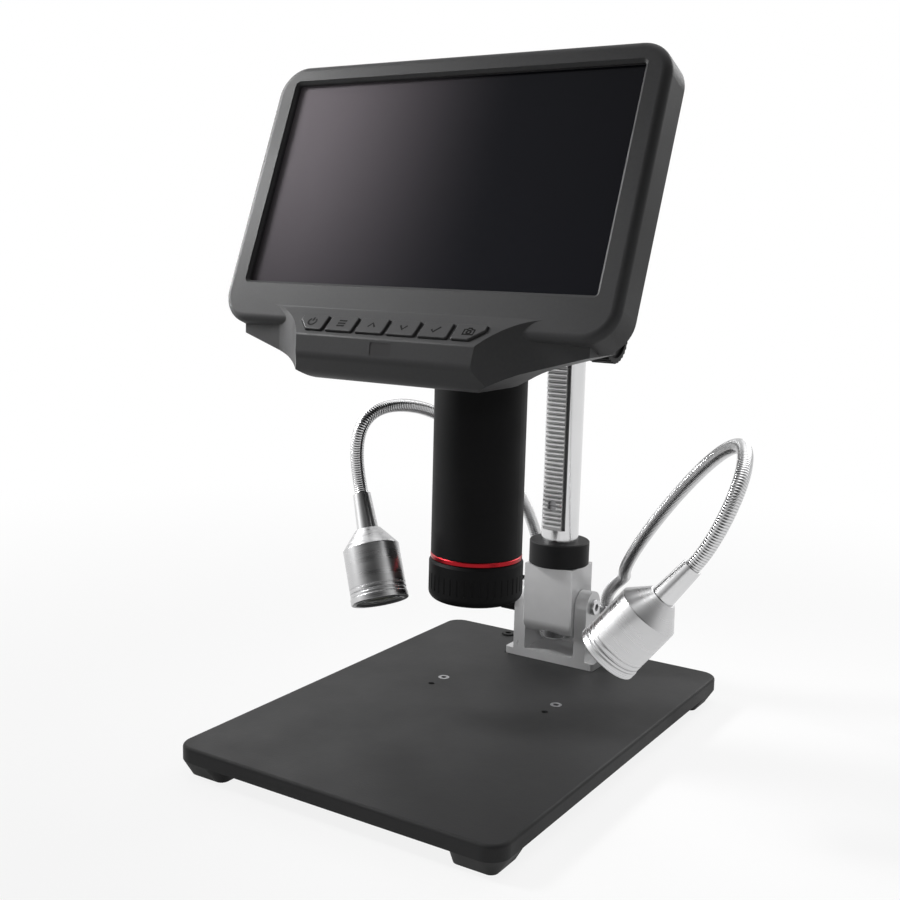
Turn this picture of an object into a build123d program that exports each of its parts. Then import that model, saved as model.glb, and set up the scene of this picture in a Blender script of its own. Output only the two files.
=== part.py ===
# LCD digital microscope on a rack-and-pinion stand with two gooseneck lamps.
# Millimetres, +Z up. Origin: on the stage face, straight under the lens. +Y runs to the column.
from build123d import *
import math
import os

os.makedirs("parts", exist_ok=True)

# ---- fits shared by the whole instrument ----
seat_gap = 0.3           # clearance between pieces that pass each other
run_fit = 0.05           # radial play of a turning or sliding fit
wall = 2.2               # moulded housing wall
pick = 0.1               # half width of the band in which an edge is looked for

# ---- base tray, a pressed sheet with a deep skirt ----
base_w = 150.0
base_d = 210.0
base_back = 105.0        # rear edge of the base, behind the barrel axis
base_mid_y = base_back - base_d / 2
base_r = 8.0
base_skirt = 6.2
base_sheet = 1.6
base_bend_r = 1.4
clip_x = 29.5
clip_y = 23.0
clip_rim_r = 2.6
clip_thread_r = 1.25
clip_depth = 5.0
pin_hole_y = 12.6
pin_hole_r = 1.5
grommet_x = -37.0
grommet_inset = 8.0
grommet_y = base_back - grommet_inset
grommet_r = 3.2
grommet_bore_r = 1.6
seat_line_w = 0.4        # scribed line that locates the bracket and the grommet
seat_line_depth = 0.2

# ---- corner feet ----
foot_w = 24.0
foot_draft_out = 4.2     # slope of the outer sides, run in from the rim
foot_draft_in = 2.0
foot_sole = foot_w - foot_draft_out - foot_draft_in
foot_sole_r = 3.0
foot_h = 6.6
foot_x = base_w / 2 - foot_w / 2
foot_y = base_d / 2 - foot_w / 2
bush_r = 3.5
bush_h = 3.4
foot_screw_r = 1.5
foot_head_r = 3.0
foot_head_h = 2.2
foot_recess_r = 3.6
foot_recess = 4.4

# ---- stand bracket: two walls on a lipped floor, tilt axis through the ears ----
bracket_inset = 4.0      # from the base's rear edge
cross_t = 8.5
tilt_reach = 22.5
cross_back = base_back - bracket_inset
cross_front = cross_back - cross_t
tilt_y = cross_back - tilt_reach
tilt_z = 29.5
ear_r = 7.5
wall_in = 13.3
wall_out = 19.5
lip_x = 24.0
floor_h = 4.5
bracket_front = tilt_y - ear_r
cross_h = 18.0
lip_h = 3.4
bracket_round = 1.5
bracket_screw_x = 16.4
bracket_screw_lead = 1.5
bracket_screw_round = 0.8
bracket_screw_y0 = tilt_y - bracket_screw_lead
bracket_screw_y1 = (cross_front + cross_back) / 2
m4_r = 2.0
m4_head_r = 3.6
m4_head_h = 2.4
m4_cap_h = 4.0
m4_hex_r = 1.6
m4_reach = 3.6

# ---- tilt bolt and its knob ----
bolt_r = 3.0
bolt_head_r = 3.8
bolt_head_h = 1.8
bolt_hex = 4.0
bolt_hex_depth = 1.2
bolt_head_round = 0.5
bolt_short = 2.5         # knob left over the bolt's end
tilt_knob_r = 9.0
tilt_knob_w = 10.0
tilt_knob_gap = 0.2
tilt_knob_face = 2.0     # closed face over the bore
tilt_flutes = 24
tilt_flute_lift = 0.35   # flute centres, outside the knob's rim
tilt_flute_r = 0.9
knob_edge = 0.4

# ---- post block, collar, column and rack ----
column_r = 9.0
column_foot_z = 12.0
column_top_z = 243.0
block_half = wall_in - seat_gap
block_depth = 22.0
block_z0 = 14.0
block_z1 = 48.4
block_round = 7.0
block_edge = 0.6
collar_r = 14.5
collar_z1 = 60.0
collar_edge = 0.5
column_edge = 0.8
rack_z0 = 66.0
rack_z1 = 236.0
rack_w = 9.6
rack_slot_w = 12.0
rack_tip = 9.9           # tooth tips, from the column axis
rack_back = 4.5          # rack back face, from the column axis
gear_module = 0.7
gear_root = 1.25 * gear_module
pressure_angle = 20.0
pinion_teeth = 16
pinion_root_share = 0.33  # half widths of a tooth, in tooth pitches
pinion_tip_share = 0.10
rack_screw_r = 1.25
rack_head_r = 2.4
rack_head_h = 1.5
rack_screw_reach = 5.0
rack_screw_inset = 12.0
rack_clear = 1.2         # round the rack and the pinion, inside the carriage

# ---- carriage, pinion shaft and knobs ----
car_half = 16.0
car_lead = 26.5          # carriage body before and behind the column axis
car_lag = 14.5
car_front = tilt_y - car_lead
car_back = tilt_y + car_lag
car_z0 = 150.0
car_z1 = 184.0
car_round = 4.0
car_edge = 0.8
pinion_z = 161.0
shaft_r = 3.0
coarse_r = 12.5
coarse_in = 21.5
coarse_out = 32.0
shaft_end = 30.5
hub_r = 6.5
shaft_edge = 0.4
coarse_flutes = 30
coarse_flute_lift = 0.45
coarse_flute_r = 0.95
coarse_rim = 2.5
coarse_dish = 1.2
lock_z = 172.0
lock_screw_r = 2.5
lock_knob_r = 8.0
lock_knob_w = 9.0
lock_knob_stand = 2.0
lock_flutes = 16
lock_flute_lift = 0.4
lock_flute_r = 1.1
pad_r = 3.4
pad_t = 3.0

# ---- holder: split ring on an arm ----
barrel_r = 19.6
ring_r = 27.0
ring_z1 = 164.0
holder_z0 = car_z0
arm_half = 10.0
holder_plate_half = 15.0
holder_plate_t = 5.0
holder_plate_z1 = 178.0
arm_screw_x = 11.0
arm_screw_z0 = 170.5
arm_round = 3.0
split_w = 2.0
pinch_len = 10.0
pinch_root = 2.0         # of the lugs inside the ring's outline
pinch_half = 7.0
pinch_r = 2.0
pinch_knob_r = 5.0
pinch_knob_w = 6.0
pinch_flutes = 14
pinch_flute_lift = 0.3
pinch_flute_r = 0.75

# ---- barrel, bands and lens, stacked up from the lens end ----
nose_z0 = 50.2
focus_z0 = 49.5
focus_z1 = 67.2
band_z1 = 69.4
flange_z0 = 169.6
flange_r = 24.8
flange_t = 2.4
flange_screw_count = 3
flange_floor = 1.0       # left under a flange screw's end
sensor_half = 16.4
sensor_chip_w = 11.6
sensor_chip_d = 9.6
sensor_part_w = 8.2
sensor_part_d = 6.6
sensor_part_h = 1.0
focus_r = 20.3
focus_round = 3.6
focus_back_h = 1.2       # chamfer at the band
focus_back_r = 0.7
focus_flutes = 40
focus_flute_lift = 0.35
focus_flute_r = 0.6
focus_flute_len = 7.0
focus_flute_lead = 1.5
band_proud = 0.1
band_edge = 0.3
nose_r = 15.2
bore_r = 13.4
tube_r = 17.4
nose_neck_r = 14.3
nose_ring_h = 2.0
nose_ring_r = 16.1
cell_z0 = 54.0
cell_h = 10.0
lens_r = 8.0
lens_t = 4.0
lens_bulge = 1.1
cell_land = 1.0          # ring under the lens' rim
cell_mouth = 2.5
cell_ledge = 1.5

# ---- monitor housing, leaning back; its own plane has X across and Y up the screen ----
lean = 21.5
screen_y = -41.5
screen_z = 223.7
housing_w = 177.0
housing_top = 52.0
housing_bottom = -61.0
housing_r = 13.0
side_depth = 15.0
bezel_round = 3.2
dome_depth = 12.0
dome_taper = 32.0
dome_round = 4.0
boss_inset_side = 5.6
boss_inset_top = 14.0
boss_inset_low = 11.0
boss_u = housing_w / 2 - boss_inset_side
boss_top = housing_top - boss_inset_top
boss_low = housing_bottom + boss_inset_low
boss_r = 3.3
shell_screw_r = 1.2
shell_head_r = 2.4
shell_head_h = 1.6
shell_seat = 3.0         # seat of a screw head, behind the parting face
shell_screw_free = 2.0   # bore left past a screw's end
bezel_side = 10.0
bezel_top = 8.5
view_w = housing_w - 2 * bezel_side
view_h = 2 * (housing_top - bezel_top)
view_r = 1.0
bezel_t = 2.6
bezel_chamfer = 1.2
panel_lap_x = 0.9        # hidden behind the bezel on each side
panel_lap_y = 2.0
panel_w = view_w + 2 * panel_lap_x
panel_h = view_h + 2 * panel_lap_y
panel_t = 2.4
tray_t = 3.6
pcb_t = 1.6
board_r = 2.0
board_gap = 2.4
board_inset_x = 15.0     # of the main board inside the tray
board_inset_y = 8.0
standoff_inset_x = 24.0
standoff_inset_y = 14.0
chip_h = 1.2

# ---- console with six keys, below the screen ----
shelf_back_y = -61.5
shelf_back_z = 173.4
shelf_front_y = -72.7
shelf_front_z = 164.0
nose_y = -74.0
nose_z = 156.0
console_floor_z = 146.5
console_back_y = -38.0
console_mid = 1.0        # start of the front corner, before the front's end
console_mid_run = 0.6
console_sweep_x = 6.6    # middle of the swept front corner
console_sweep_y = 7.2
console_wing_fall = 2.5
console_root_y = -54.0
console_root_z = 182.0
console_half_floor = 38.0
console_half_front = 39.5
console_half_shelf = 58.0
console_half_root = 78.0
console_half_knee = 49.5
console_knee_z = 153.4
knee_run = 6.0
chin_cut = 1.6
console_root_low = 161.6
shelf_round = 1.6
chin_run = 7.0
nose_round = 4.5
chin_round = 9.0
key_count = 6
key_pitch = 14.1
key_w = 12.4
key_d = 7.8
key_r = 0.8
key_cut = 5.0            # slanted front corner of the two end keys
key_proud = 1.0
key_depth = 3.3
key_gap = 0.3
key_lip = 0.7
key_lip_t = 0.8
key_travel = 0.5
key_edge = 0.45
key_cut_over = 1.0
key_v = -1.2
switch_h = 1.2
switch_w = 5.4
switch_body = 0.8
plunger_r = 1.5
key_board_trim = 14.0    # the board stops short of the end keys' lips
key_board_r = 1.0
ir_w = 9.6
ir_h = 4.8
ir_z = 160.4
ir_t = 0.9

# ---- rear bulge over the barrel ----
bulge_half = 33.0
bulge_front_y = -42.0
bulge_back_y = 28.0
bulge_floor_z = 165.2
bulge_rear_z = 194.0
bulge_top_y = -14.0
bulge_top_z = 232.0
bulge_r = 7.0

# ---- lamps ----
lamp_root_x = 18.0
lamp_root_y = (cross_front + cross_back) / 2
root_r = 4.6
root_h = 8.0
root_spigot_r = 2.5
root_spigot = 9.0
root_land = 1.0          # bracket left round the foot of a gooseneck
root_edge = 0.8
goose_r = 3.0
lamp_r = 12.2
lamp_lip_r = 12.5
lamp_lip = 3.0
lamp_lip_edge = 0.4
lamp_lip_in = 2.0        # flat rim of the front ring
lamp_lip_slope = 3.4     # end of the ring's inner slope
lamp_seat_step = 1.4     # seat of the clear cover, in from the ring's back
lamp_seat_fall = 0.5
lamp_spigot = 3.0        # ring's spigot inside the head
lamp_spigot_t = 1.2
lamp_groove_z = 1.2
lamp_groove_w = 0.6
lamp_groove_depth = 0.5
lamp_body = 24.0
lamp_neck = 32.0
lamp_neck_r = 5.6
lamp_wall = 1.6
lamp_cone_z = 4.0
lamp_floor_z = 1.5
lens_rim = 1.0
lens_cone_h = 6.5
lens_cone_taper = 28
led_board_z = 12.0
led_board_t = 2.0
led_r = 2.6
led_h = 2.0
led_round = 1.4
sleeve_top = 48.0
sleeve_r0 = 4.7
sleeve_r1 = 3.9
sleeve_bore = 12.0
sleeve_spigot = 3.0
sleeve_spigot_step = 1.6
neck_stub = 0.8          # straight length past a bore's mouth

# ---- goosenecks: rim centre and aim of each head; a bend is its point, its direction and how far
# the curve holds that direction before and after; rise and drop are the same for the two ends ----
lamp_left_rim = (-31.0, -27.0, 48.0)
lamp_left_aim = (0.394, -0.237, -0.889)
lamp_left_rise = 53.0
lamp_left_bends = [((-44.3, 15.0, 127.1), (-0.1965, -0.9636, 0.1813), 34.4, 43.1)]
lamp_left_drop = 14.0
lamp_right_rim = (77.0, -31.0, 48.0)
lamp_right_aim = (-0.61, -0.14, -0.78)
lamp_right_rise = 9.2
lamp_right_bends = [
    ((30.5, 88.8, 45.3), (0.2525, -0.8286, 0.4996), 8.7, 30.2),
    ((117.5, -7.6, 121.3), (0.2175, -0.8636, -0.4548), 55.0, 16.4),
]
lamp_right_drop = 11.0

lean_sin = math.sin(math.radians(lean))
lean_cos = math.cos(math.radians(lean))
screen_normal = (0, -lean_cos, lean_sin)
face_plane = Plane(origin=(0, screen_y, screen_z), x_dir=(1, 0, 0), z_dir=screen_normal)
parting_plane = face_plane.offset(-side_depth)

corner_spots = [(sx * foot_x, base_mid_y + sy * foot_y) for sx in (-1, 1) for sy in (-1, 1)]
bracket_spots = [(sx * bracket_screw_x, y) for sx in (-1, 1) for y in (bracket_screw_y0, bracket_screw_y1)]


def save(builder, label):
    builder.part.label = label
    export_step(builder.part, "parts/" + label + ".step")


# ================= base =================
with BuildPart() as base_plate:
    with BuildSketch():
        with Locations((0, base_mid_y)):
            RectangleRounded(base_w, base_d, base_r)
    extrude(amount=-base_skirt)
    fillet(base_plate.faces().sort_by(Axis.Z)[-1].edges(), base_bend_r)
    with BuildSketch(Plane.XY.offset(-base_sheet)):
        with Locations((0, base_mid_y)):
            RectangleRounded(base_w - 2 * base_sheet, base_d - 2 * base_sheet, base_r - base_sheet)
    extrude(amount=-base_skirt, mode=Mode.SUBTRACT)
    with BuildSketch(Plane.XY.offset(-base_sheet)):
        with Locations(*corner_spots):
            Circle(bush_r)
    extrude(amount=-bush_h)
    with BuildSketch(Plane.XY.offset(-base_sheet - bush_h)):
        with Locations(*corner_spots):
            Circle(foot_screw_r)
    extrude(amount=bush_h, mode=Mode.SUBTRACT)
    with BuildSketch():
        with Locations((-clip_x, clip_y), (clip_x, clip_y)):
            Circle(clip_rim_r)
        with Locations((-clip_x, pin_hole_y), (clip_x, pin_hole_y)):
            Circle(pin_hole_r)
        with Locations((grommet_x, grommet_y)):
            Circle(grommet_r - base_sheet / 2)
        with Locations(*bracket_spots):
            Circle(m4_r + run_fit)
    extrude(amount=-base_sheet, mode=Mode.SUBTRACT)
    with BuildSketch():
        with Locations((0, (bracket_front + cross_back) / 2)):
            Rectangle(2 * (lip_x + seat_line_w), cross_back - bracket_front + 2 * seat_line_w)
            Rectangle(2 * lip_x, cross_back - bracket_front, mode=Mode.SUBTRACT)
        with Locations((grommet_x, grommet_y)):
            Circle(grommet_r + seat_line_w)
            Circle(grommet_r, mode=Mode.SUBTRACT)
    extrude(amount=-seat_line_depth, mode=Mode.SUBTRACT)
save(base_plate, "base_plate")

sole_shift = (foot_draft_in - foot_draft_out) / 2
plug_w = foot_w - 2 * base_sheet - 2 * seat_gap
with BuildPart() as corner_feet:
    for side in (-1, 1):
        for end in (-1, 1):
            with BuildSketch(Plane.XY.offset(-base_skirt)):
                with Locations((side * foot_x, base_mid_y + end * foot_y)):
                    RectangleRounded(foot_w, foot_w, base_r)
            with BuildSketch(Plane.XY.offset(-base_skirt - foot_h)):
                with Locations((side * (foot_x + sole_shift), base_mid_y + end * (foot_y + sole_shift))):
                    RectangleRounded(foot_sole, foot_sole, foot_sole_r)
            loft()
    with BuildSketch(Plane.XY.offset(-base_sheet)):
        with Locations(*corner_spots):
            RectangleRounded(plug_w, plug_w, base_r - base_sheet - seat_gap)
    extrude(amount=-(base_skirt - base_sheet))
    with BuildSketch(Plane.XY.offset(-base_sheet)):
        with Locations(*corner_spots):
            Circle(bush_r + seat_gap / 2)
    extrude(amount=-bush_h, mode=Mode.SUBTRACT)
    with BuildSketch(Plane.XY.offset(-base_skirt - foot_h)):
        with Locations(*corner_spots):
            Circle(foot_recess_r)
    extrude(amount=foot_recess, mode=Mode.SUBTRACT)
    with BuildSketch(Plane.XY.offset(-base_skirt - foot_h)):
        with Locations(*corner_spots):
            Circle(foot_screw_r + run_fit)
    extrude(amount=base_skirt + foot_h, mode=Mode.SUBTRACT)
save(corner_feet, "corner_feet")

foot_seat_z = -base_skirt - foot_h + foot_recess
with BuildPart() as foot_screws:
    with BuildSketch(Plane.XY.offset(foot_seat_z)):
        with Locations(*corner_spots):
            Circle(foot_head_r)
    extrude(amount=-foot_head_h)
    with BuildSketch(Plane.XY.offset(foot_seat_z)):
        with Locations(*corner_spots):
            Circle(foot_screw_r)
    extrude(amount=-foot_seat_z - base_sheet - seat_gap)
    with BuildSketch(Plane.XY.offset(foot_seat_z - foot_head_h)):
        with Locations(*corner_spots):
            Rectangle(foot_head_r, foot_head_h / 4)
            Rectangle(foot_head_h / 4, foot_head_r)
    extrude(amount=foot_head_h / 2, mode=Mode.SUBTRACT)
save(foot_screws, "foot_screws")

with BuildPart() as clip_inserts:
    with BuildSketch():
        with Locations((-clip_x, clip_y), (clip_x, clip_y)):
            Circle(clip_rim_r)
    extrude(amount=-clip_depth)
    with BuildSketch():
        with Locations((-clip_x, clip_y), (clip_x, clip_y)):
            Circle(clip_thread_r)
    extrude(amount=-clip_depth, mode=Mode.SUBTRACT)
save(clip_inserts, "clip_inserts")

with BuildPart() as cord_grommet:
    with BuildSketch(Plane.XZ):
        with BuildLine():
            Polyline(
                (grommet_bore_r, base_sheet / 2),
                (grommet_r, base_sheet / 2),
                (grommet_r, 0),
                (grommet_r - base_sheet / 2, 0),
                (grommet_r - base_sheet / 2, -base_sheet),
                (grommet_r, -base_sheet),
                (grommet_r, -2 * base_sheet),
                (grommet_bore_r, -2 * base_sheet),
                close=True,
            )
        make_face()
    revolve(axis=Axis.Z)
cord_grommet.part = cord_grommet.part.moved(Location((grommet_x, grommet_y, 0)))
save(cord_grommet, "cord_grommet")

# ================= stand bracket =================
ear_top = tilt_z + ear_r
with BuildPart() as stand_bracket:
    with BuildSketch():
        with Locations((0, (bracket_front + cross_back) / 2)):
            Rectangle(2 * lip_x, cross_back - bracket_front)
    extrude(amount=lip_h)
    fillet(stand_bracket.edges().filter_by(Axis.Z), bracket_round)
    with BuildSketch():
        with Locations((0, (bracket_front + cross_back) / 2)):
            Rectangle(2 * wall_out, cross_back - bracket_front)
    extrude(amount=floor_h)
    with BuildSketch(Plane.YZ.offset(-wall_out)):
        with BuildLine():
            Line((bracket_front, lip_h), (bracket_front, tilt_z))
            CenterArc((tilt_y, tilt_z), ear_r, 180, -180)
            Line((tilt_y + ear_r, tilt_z), (tilt_y + ear_r, cross_h))
            Line((tilt_y + ear_r, cross_h), (cross_back, cross_h))
            Line((cross_back, cross_h), (cross_back, lip_h))
            Line((cross_back, lip_h), (bracket_front, lip_h))
        make_face()
    extrude(amount=2 * wall_out)
    with BuildSketch(Plane.XY.offset(floor_h)):
        with Locations((0, (bracket_front + cross_front) / 2)):
            Rectangle(2 * wall_in, cross_front - bracket_front)
    extrude(amount=ear_top, mode=Mode.SUBTRACT)
    inner_corner = stand_bracket.edges().filter_by(Axis.X).filter_by_position(
        Axis.Z, cross_h - pick, cross_h + pick
    ).filter_by_position(Axis.Y, tilt_y + ear_r - pick, tilt_y + ear_r + pick)
    fillet(inner_corner, (cross_front - tilt_y - ear_r) / 2)
    lamp_pad_half = lamp_root_x + root_r + root_land
    with BuildSketch(Plane.XY.offset(lip_h)):
        with Locations((0, lamp_root_y)):
            RectangleRounded(2 * lamp_pad_half, cross_back - cross_front, bracket_round)
    extrude(amount=cross_h - lip_h)
    with BuildSketch(Plane.YZ.offset(-lip_x)):
        with Locations((tilt_y, tilt_z)):
            Circle(bolt_r + run_fit)
    extrude(amount=2 * lip_x, mode=Mode.SUBTRACT)
    with BuildSketch(Plane.XY.offset(cross_h)):
        with Locations((-lamp_root_x, lamp_root_y), (lamp_root_x, lamp_root_y)):
            Circle(root_spigot_r + run_fit)
    extrude(amount=-root_spigot - seat_gap, mode=Mode.SUBTRACT)
    with BuildSketch():
        with Locations(*bracket_spots):
            Circle(m4_r)
    extrude(amount=m4_reach + seat_gap, mode=Mode.SUBTRACT)
    with BuildSketch(Plane.XZ.offset(-cross_back)):
        with Locations((-lamp_root_x, cross_h - root_spigot / 2), (lamp_root_x, cross_h - root_spigot / 2)):
            Circle(bolt_r / 2)
    extrude(amount=cross_back - lamp_root_y, mode=Mode.SUBTRACT)
save(stand_bracket, "stand_bracket")

with BuildPart() as bracket_screws:
    with BuildSketch(Plane.XY.offset(-base_sheet)):
        with Locations(*bracket_spots):
            Circle(m4_head_r)
    extrude(amount=-m4_head_h)
    fillet(bracket_screws.faces().sort_by(Axis.Z)[:len(bracket_spots)].edges(), bracket_screw_round)
    with BuildSketch(Plane.XY.offset(-base_sheet)):
        with Locations(*bracket_spots):
            Circle(m4_r)
    extrude(amount=base_sheet + m4_reach)
    with BuildSketch(Plane.XY.offset(-base_sheet - m4_head_h)):
        with Locations(*bracket_spots):
            RegularPolygon(m4_r / 2, 6)
    extrude(amount=m4_head_h / 2, mode=Mode.SUBTRACT)
save(bracket_screws, "bracket_screws")

grub_len = cross_back - lamp_root_y - root_spigot_r - 2 * seat_gap
with BuildPart() as lamp_grub_screws:
    with BuildSketch(Plane.XZ.offset(-cross_back + seat_gap)):
        with Locations((-lamp_root_x, cross_h - root_spigot / 2), (lamp_root_x, cross_h - root_spigot / 2)):
            Circle(bolt_r / 2)
    extrude(amount=grub_len - run_fit)
    with BuildSketch(Plane.XZ.offset(-cross_back + seat_gap)):
        with Locations((-lamp_root_x, cross_h - root_spigot / 2), (lamp_root_x, cross_h - root_spigot / 2)):
            RegularPolygon(bolt_r / 4, 6)
    extrude(amount=grub_len / 3, mode=Mode.SUBTRACT)
save(lamp_grub_screws, "lamp_grub_screws")

bolt_end = wall_out + tilt_knob_gap + tilt_knob_w - bolt_short
with BuildPart() as tilt_bolt:
    with BuildSketch(Plane.YZ.offset(wall_out)):
        with Locations((tilt_y, tilt_z)):
            Circle(bolt_head_r)
    extrude(amount=bolt_head_h)
    fillet(tilt_bolt.faces().sort_by(Axis.X)[-1].edges(), bolt_head_round)
    with BuildSketch(Plane.YZ.offset(-bolt_end)):
        with Locations((tilt_y, tilt_z)):
            Circle(bolt_r)
    extrude(amount=bolt_end + wall_out)
    with BuildSketch(Plane.YZ.offset(wall_out + bolt_head_h)):
        with Locations((tilt_y, tilt_z)):
            RegularPolygon(bolt_hex / 2, 6)
    extrude(amount=-bolt_hex_depth, mode=Mode.SUBTRACT)
save(tilt_bolt, "tilt_bolt")


tilt_knob_plane = Plane(
    origin=(-wall_out - tilt_knob_gap, tilt_y, tilt_z), x_dir=(0, 1, 0), z_dir=(-1, 0, 0)
)
with BuildPart() as tilt_knob:
    with BuildSketch(tilt_knob_plane):
        Circle(tilt_knob_r)
        with PolarLocations(tilt_knob_r + tilt_flute_lift, tilt_flutes):
            Circle(tilt_flute_r, mode=Mode.SUBTRACT)
    extrude(amount=tilt_knob_w)
    chamfer(tilt_knob.faces().sort_by(Axis.X)[0].edges(), knob_edge)
    with BuildSketch(tilt_knob_plane):
        Circle(bolt_r + run_fit)
    extrude(amount=tilt_knob_w - tilt_knob_face, mode=Mode.SUBTRACT)
save(tilt_knob, "tilt_knob")

# ================= post =================
block_front = tilt_y - block_depth / 2
with BuildPart() as post_block:
    with BuildSketch(Plane.YZ.offset(-block_half)):
        with BuildLine():
            FilletPolyline(
                (block_front, block_z1),
                (block_front, block_z0),
                (block_front + block_depth, block_z0),
                (block_front + block_depth, block_z1),
                radius=block_round,
            )
            Line((block_front + block_depth, block_z1), (block_front, block_z1))
        make_face()
    extrude(amount=2 * block_half)
    chamfer(post_block.edges().filter_by(Axis.Z), block_edge)
    with BuildSketch(Plane.XY.offset(block_z0)):
        with Locations((0, tilt_y)):
            Circle(column_r)
    extrude(amount=block_z1 - block_z0, mode=Mode.SUBTRACT)
    with BuildSketch(Plane.YZ.offset(-block_half)):
        with Locations((tilt_y, tilt_z)):
            Circle(bolt_r + run_fit)
    extrude(amount=2 * block_half, mode=Mode.SUBTRACT)
save(post_block, "post_block")

with BuildPart() as column_collar:
    with BuildSketch(Plane.XY.offset(block_z1)):
        with Locations((0, tilt_y)):
            Circle(collar_r)
            Circle(column_r, mode=Mode.SUBTRACT)
    extrude(amount=collar_z1 - block_z1)
    chamfer(column_collar.edges().filter_by(GeomType.CIRCLE).group_by(SortBy.RADIUS)[-1], collar_edge)
save(column_collar, "column_collar")

screw_spots_z = [rack_z0 + rack_screw_inset, (rack_z0 + rack_z1) / 2, rack_z1 - rack_screw_inset]
rack_pitch_line = rack_tip - gear_module
rack_root = rack_pitch_line - gear_root
tooth_pitch = math.pi * gear_module
tooth_count = int((rack_z1 - rack_z0) / tooth_pitch) - 1
with BuildPart() as column:
    with BuildSketch(Plane.XY.offset(column_foot_z)):
        with Locations((0, tilt_y)):
            Circle(column_r)
    extrude(amount=column_top_z - column_foot_z)
    chamfer(column.edges().filter_by(GeomType.CIRCLE), column_edge)
    with BuildSketch(Plane.XY.offset(rack_z0)):
        with Locations((0, tilt_y - column_r)):
            Rectangle(rack_slot_w, 2 * (column_r - rack_back))
    extrude(amount=column_top_z - rack_z0, mode=Mode.SUBTRACT)
    with BuildSketch(Plane.YZ.offset(-block_half)):
        with Locations((tilt_y, tilt_z)):
            Circle(bolt_r + run_fit)
    extrude(amount=2 * block_half, mode=Mode.SUBTRACT)
    with BuildSketch(Plane.XZ.offset(-(tilt_y - rack_back))):
        with Locations(*[(0, z) for z in screw_spots_z]):
            Circle(rack_screw_r)
    extrude(amount=-rack_screw_reach, mode=Mode.SUBTRACT)
save(column, "column")

with BuildPart() as rack:
    with BuildSketch(Plane.YZ.offset(-rack_w / 2)):
        with BuildLine():
            tooth_points = [(tilt_y - rack_back, rack_z0), (tilt_y - rack_root, rack_z0)]
            flank = math.tan(math.radians(pressure_angle))
            for k in range(tooth_count):
                z_mid = rack_z0 + (k + 1) * tooth_pitch
                half_root = tooth_pitch / 4 + gear_root * flank
                half_tip = tooth_pitch / 4 - gear_module * flank
                tooth_points.append((tilt_y - rack_root, z_mid - half_root))
                tooth_points.append((tilt_y - rack_tip, z_mid - half_tip))
                tooth_points.append((tilt_y - rack_tip, z_mid + half_tip))
                tooth_points.append((tilt_y - rack_root, z_mid + half_root))
            tooth_points.append((tilt_y - rack_root, rack_z1))
            tooth_points.append((tilt_y - rack_back, rack_z1))
            Polyline(*tooth_points, close=True)
        make_face()
    extrude(amount=rack_w)
    with BuildSketch(Plane.XZ.offset(-(tilt_y - rack_tip))):
        with Locations(*[(0, z) for z in screw_spots_z]):
            Circle(rack_head_r + run_fit)
    extrude(amount=-(rack_tip - rack_root + rack_head_h), mode=Mode.SUBTRACT)
    with BuildSketch(Plane.XZ.offset(-(tilt_y - rack_tip))):
        with Locations(*[(0, z) for z in screw_spots_z]):
            Circle(rack_screw_r + run_fit)
    extrude(amount=-(rack_tip - rack_back), mode=Mode.SUBTRACT)
save(rack, "rack")

rack_head_y = tilt_y - rack_root
with BuildPart() as rack_screws:
    with BuildSketch(Plane.XZ.offset(-rack_head_y)):
        with Locations(*[(0, z) for z in screw_spots_z]):
            Circle(rack_head_r)
    extrude(amount=-rack_head_h)
    with BuildSketch(Plane.XZ.offset(-rack_head_y)):
        with Locations(*[(0, z) for z in screw_spots_z]):
            Circle(rack_screw_r)
    extrude(amount=-(rack_root - rack_back + rack_screw_reach - seat_gap))
    with BuildSketch(Plane.XZ.offset(-rack_head_y)):
        with Locations(*[(0, z) for z in screw_spots_z]):
            Rectangle(2 * rack_head_r, rack_head_h / 3)
    extrude(amount=-rack_head_h / 2, mode=Mode.SUBTRACT)
save(rack_screws, "rack_screws")

# ================= carriage =================
pinion_r = gear_module * pinion_teeth / 2
pinion_y = tilt_y - rack_pitch_line - pinion_r
with BuildPart() as carriage_body:
    with BuildSketch(Plane.XY.offset(car_z0)):
        with Locations((0, (car_front + car_back) / 2)):
            RectangleRounded(2 * car_half, car_back - car_front, car_round)
    extrude(amount=car_z1 - car_z0)
    chamfer(carriage_body.faces().sort_by(Axis.Z)[-1].edges(), car_edge)
    with BuildSketch(Plane.XY.offset(car_z0)):
        with Locations((0, tilt_y)):
            Circle(column_r + run_fit)
        with Locations((0, tilt_y - rack_tip / 2)):
            Rectangle(rack_w + rack_clear, rack_tip + rack_clear)
    extrude(amount=car_z1 - car_z0, mode=Mode.SUBTRACT)
    with BuildSketch(Plane.YZ.offset(-rack_w / 2 - rack_clear)):
        with Locations((pinion_y, pinion_z)):
            Circle(pinion_r + gear_module + rack_clear / 2)
    extrude(amount=rack_w + 2 * rack_clear, mode=Mode.SUBTRACT)
    with BuildSketch(Plane.YZ.offset(-car_half)):
        with Locations((pinion_y, pinion_z)):
            Circle(shaft_r + run_fit)
    extrude(amount=2 * car_half, mode=Mode.SUBTRACT)
    with BuildSketch(Plane.XZ.offset(-car_front)):
        with Locations((-arm_screw_x, arm_screw_z0), (arm_screw_x, arm_screw_z0)):
            Circle(m4_r)
    extrude(amount=-(pinion_y - car_front), mode=Mode.SUBTRACT)
    with BuildSketch(Plane.XZ.offset(-car_back)):
        with Locations((0, lock_z)):
            Circle(lock_screw_r)
    extrude(amount=car_back - tilt_y, mode=Mode.SUBTRACT)
    with BuildSketch(Plane.XZ.offset(-tilt_y)):
        with Locations((0, lock_z)):
            Circle(pad_r + run_fit)
    extrude(amount=-(column_r + pad_t + 2 * seat_gap), mode=Mode.SUBTRACT)
save(carriage_body, "carriage_body")

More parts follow.
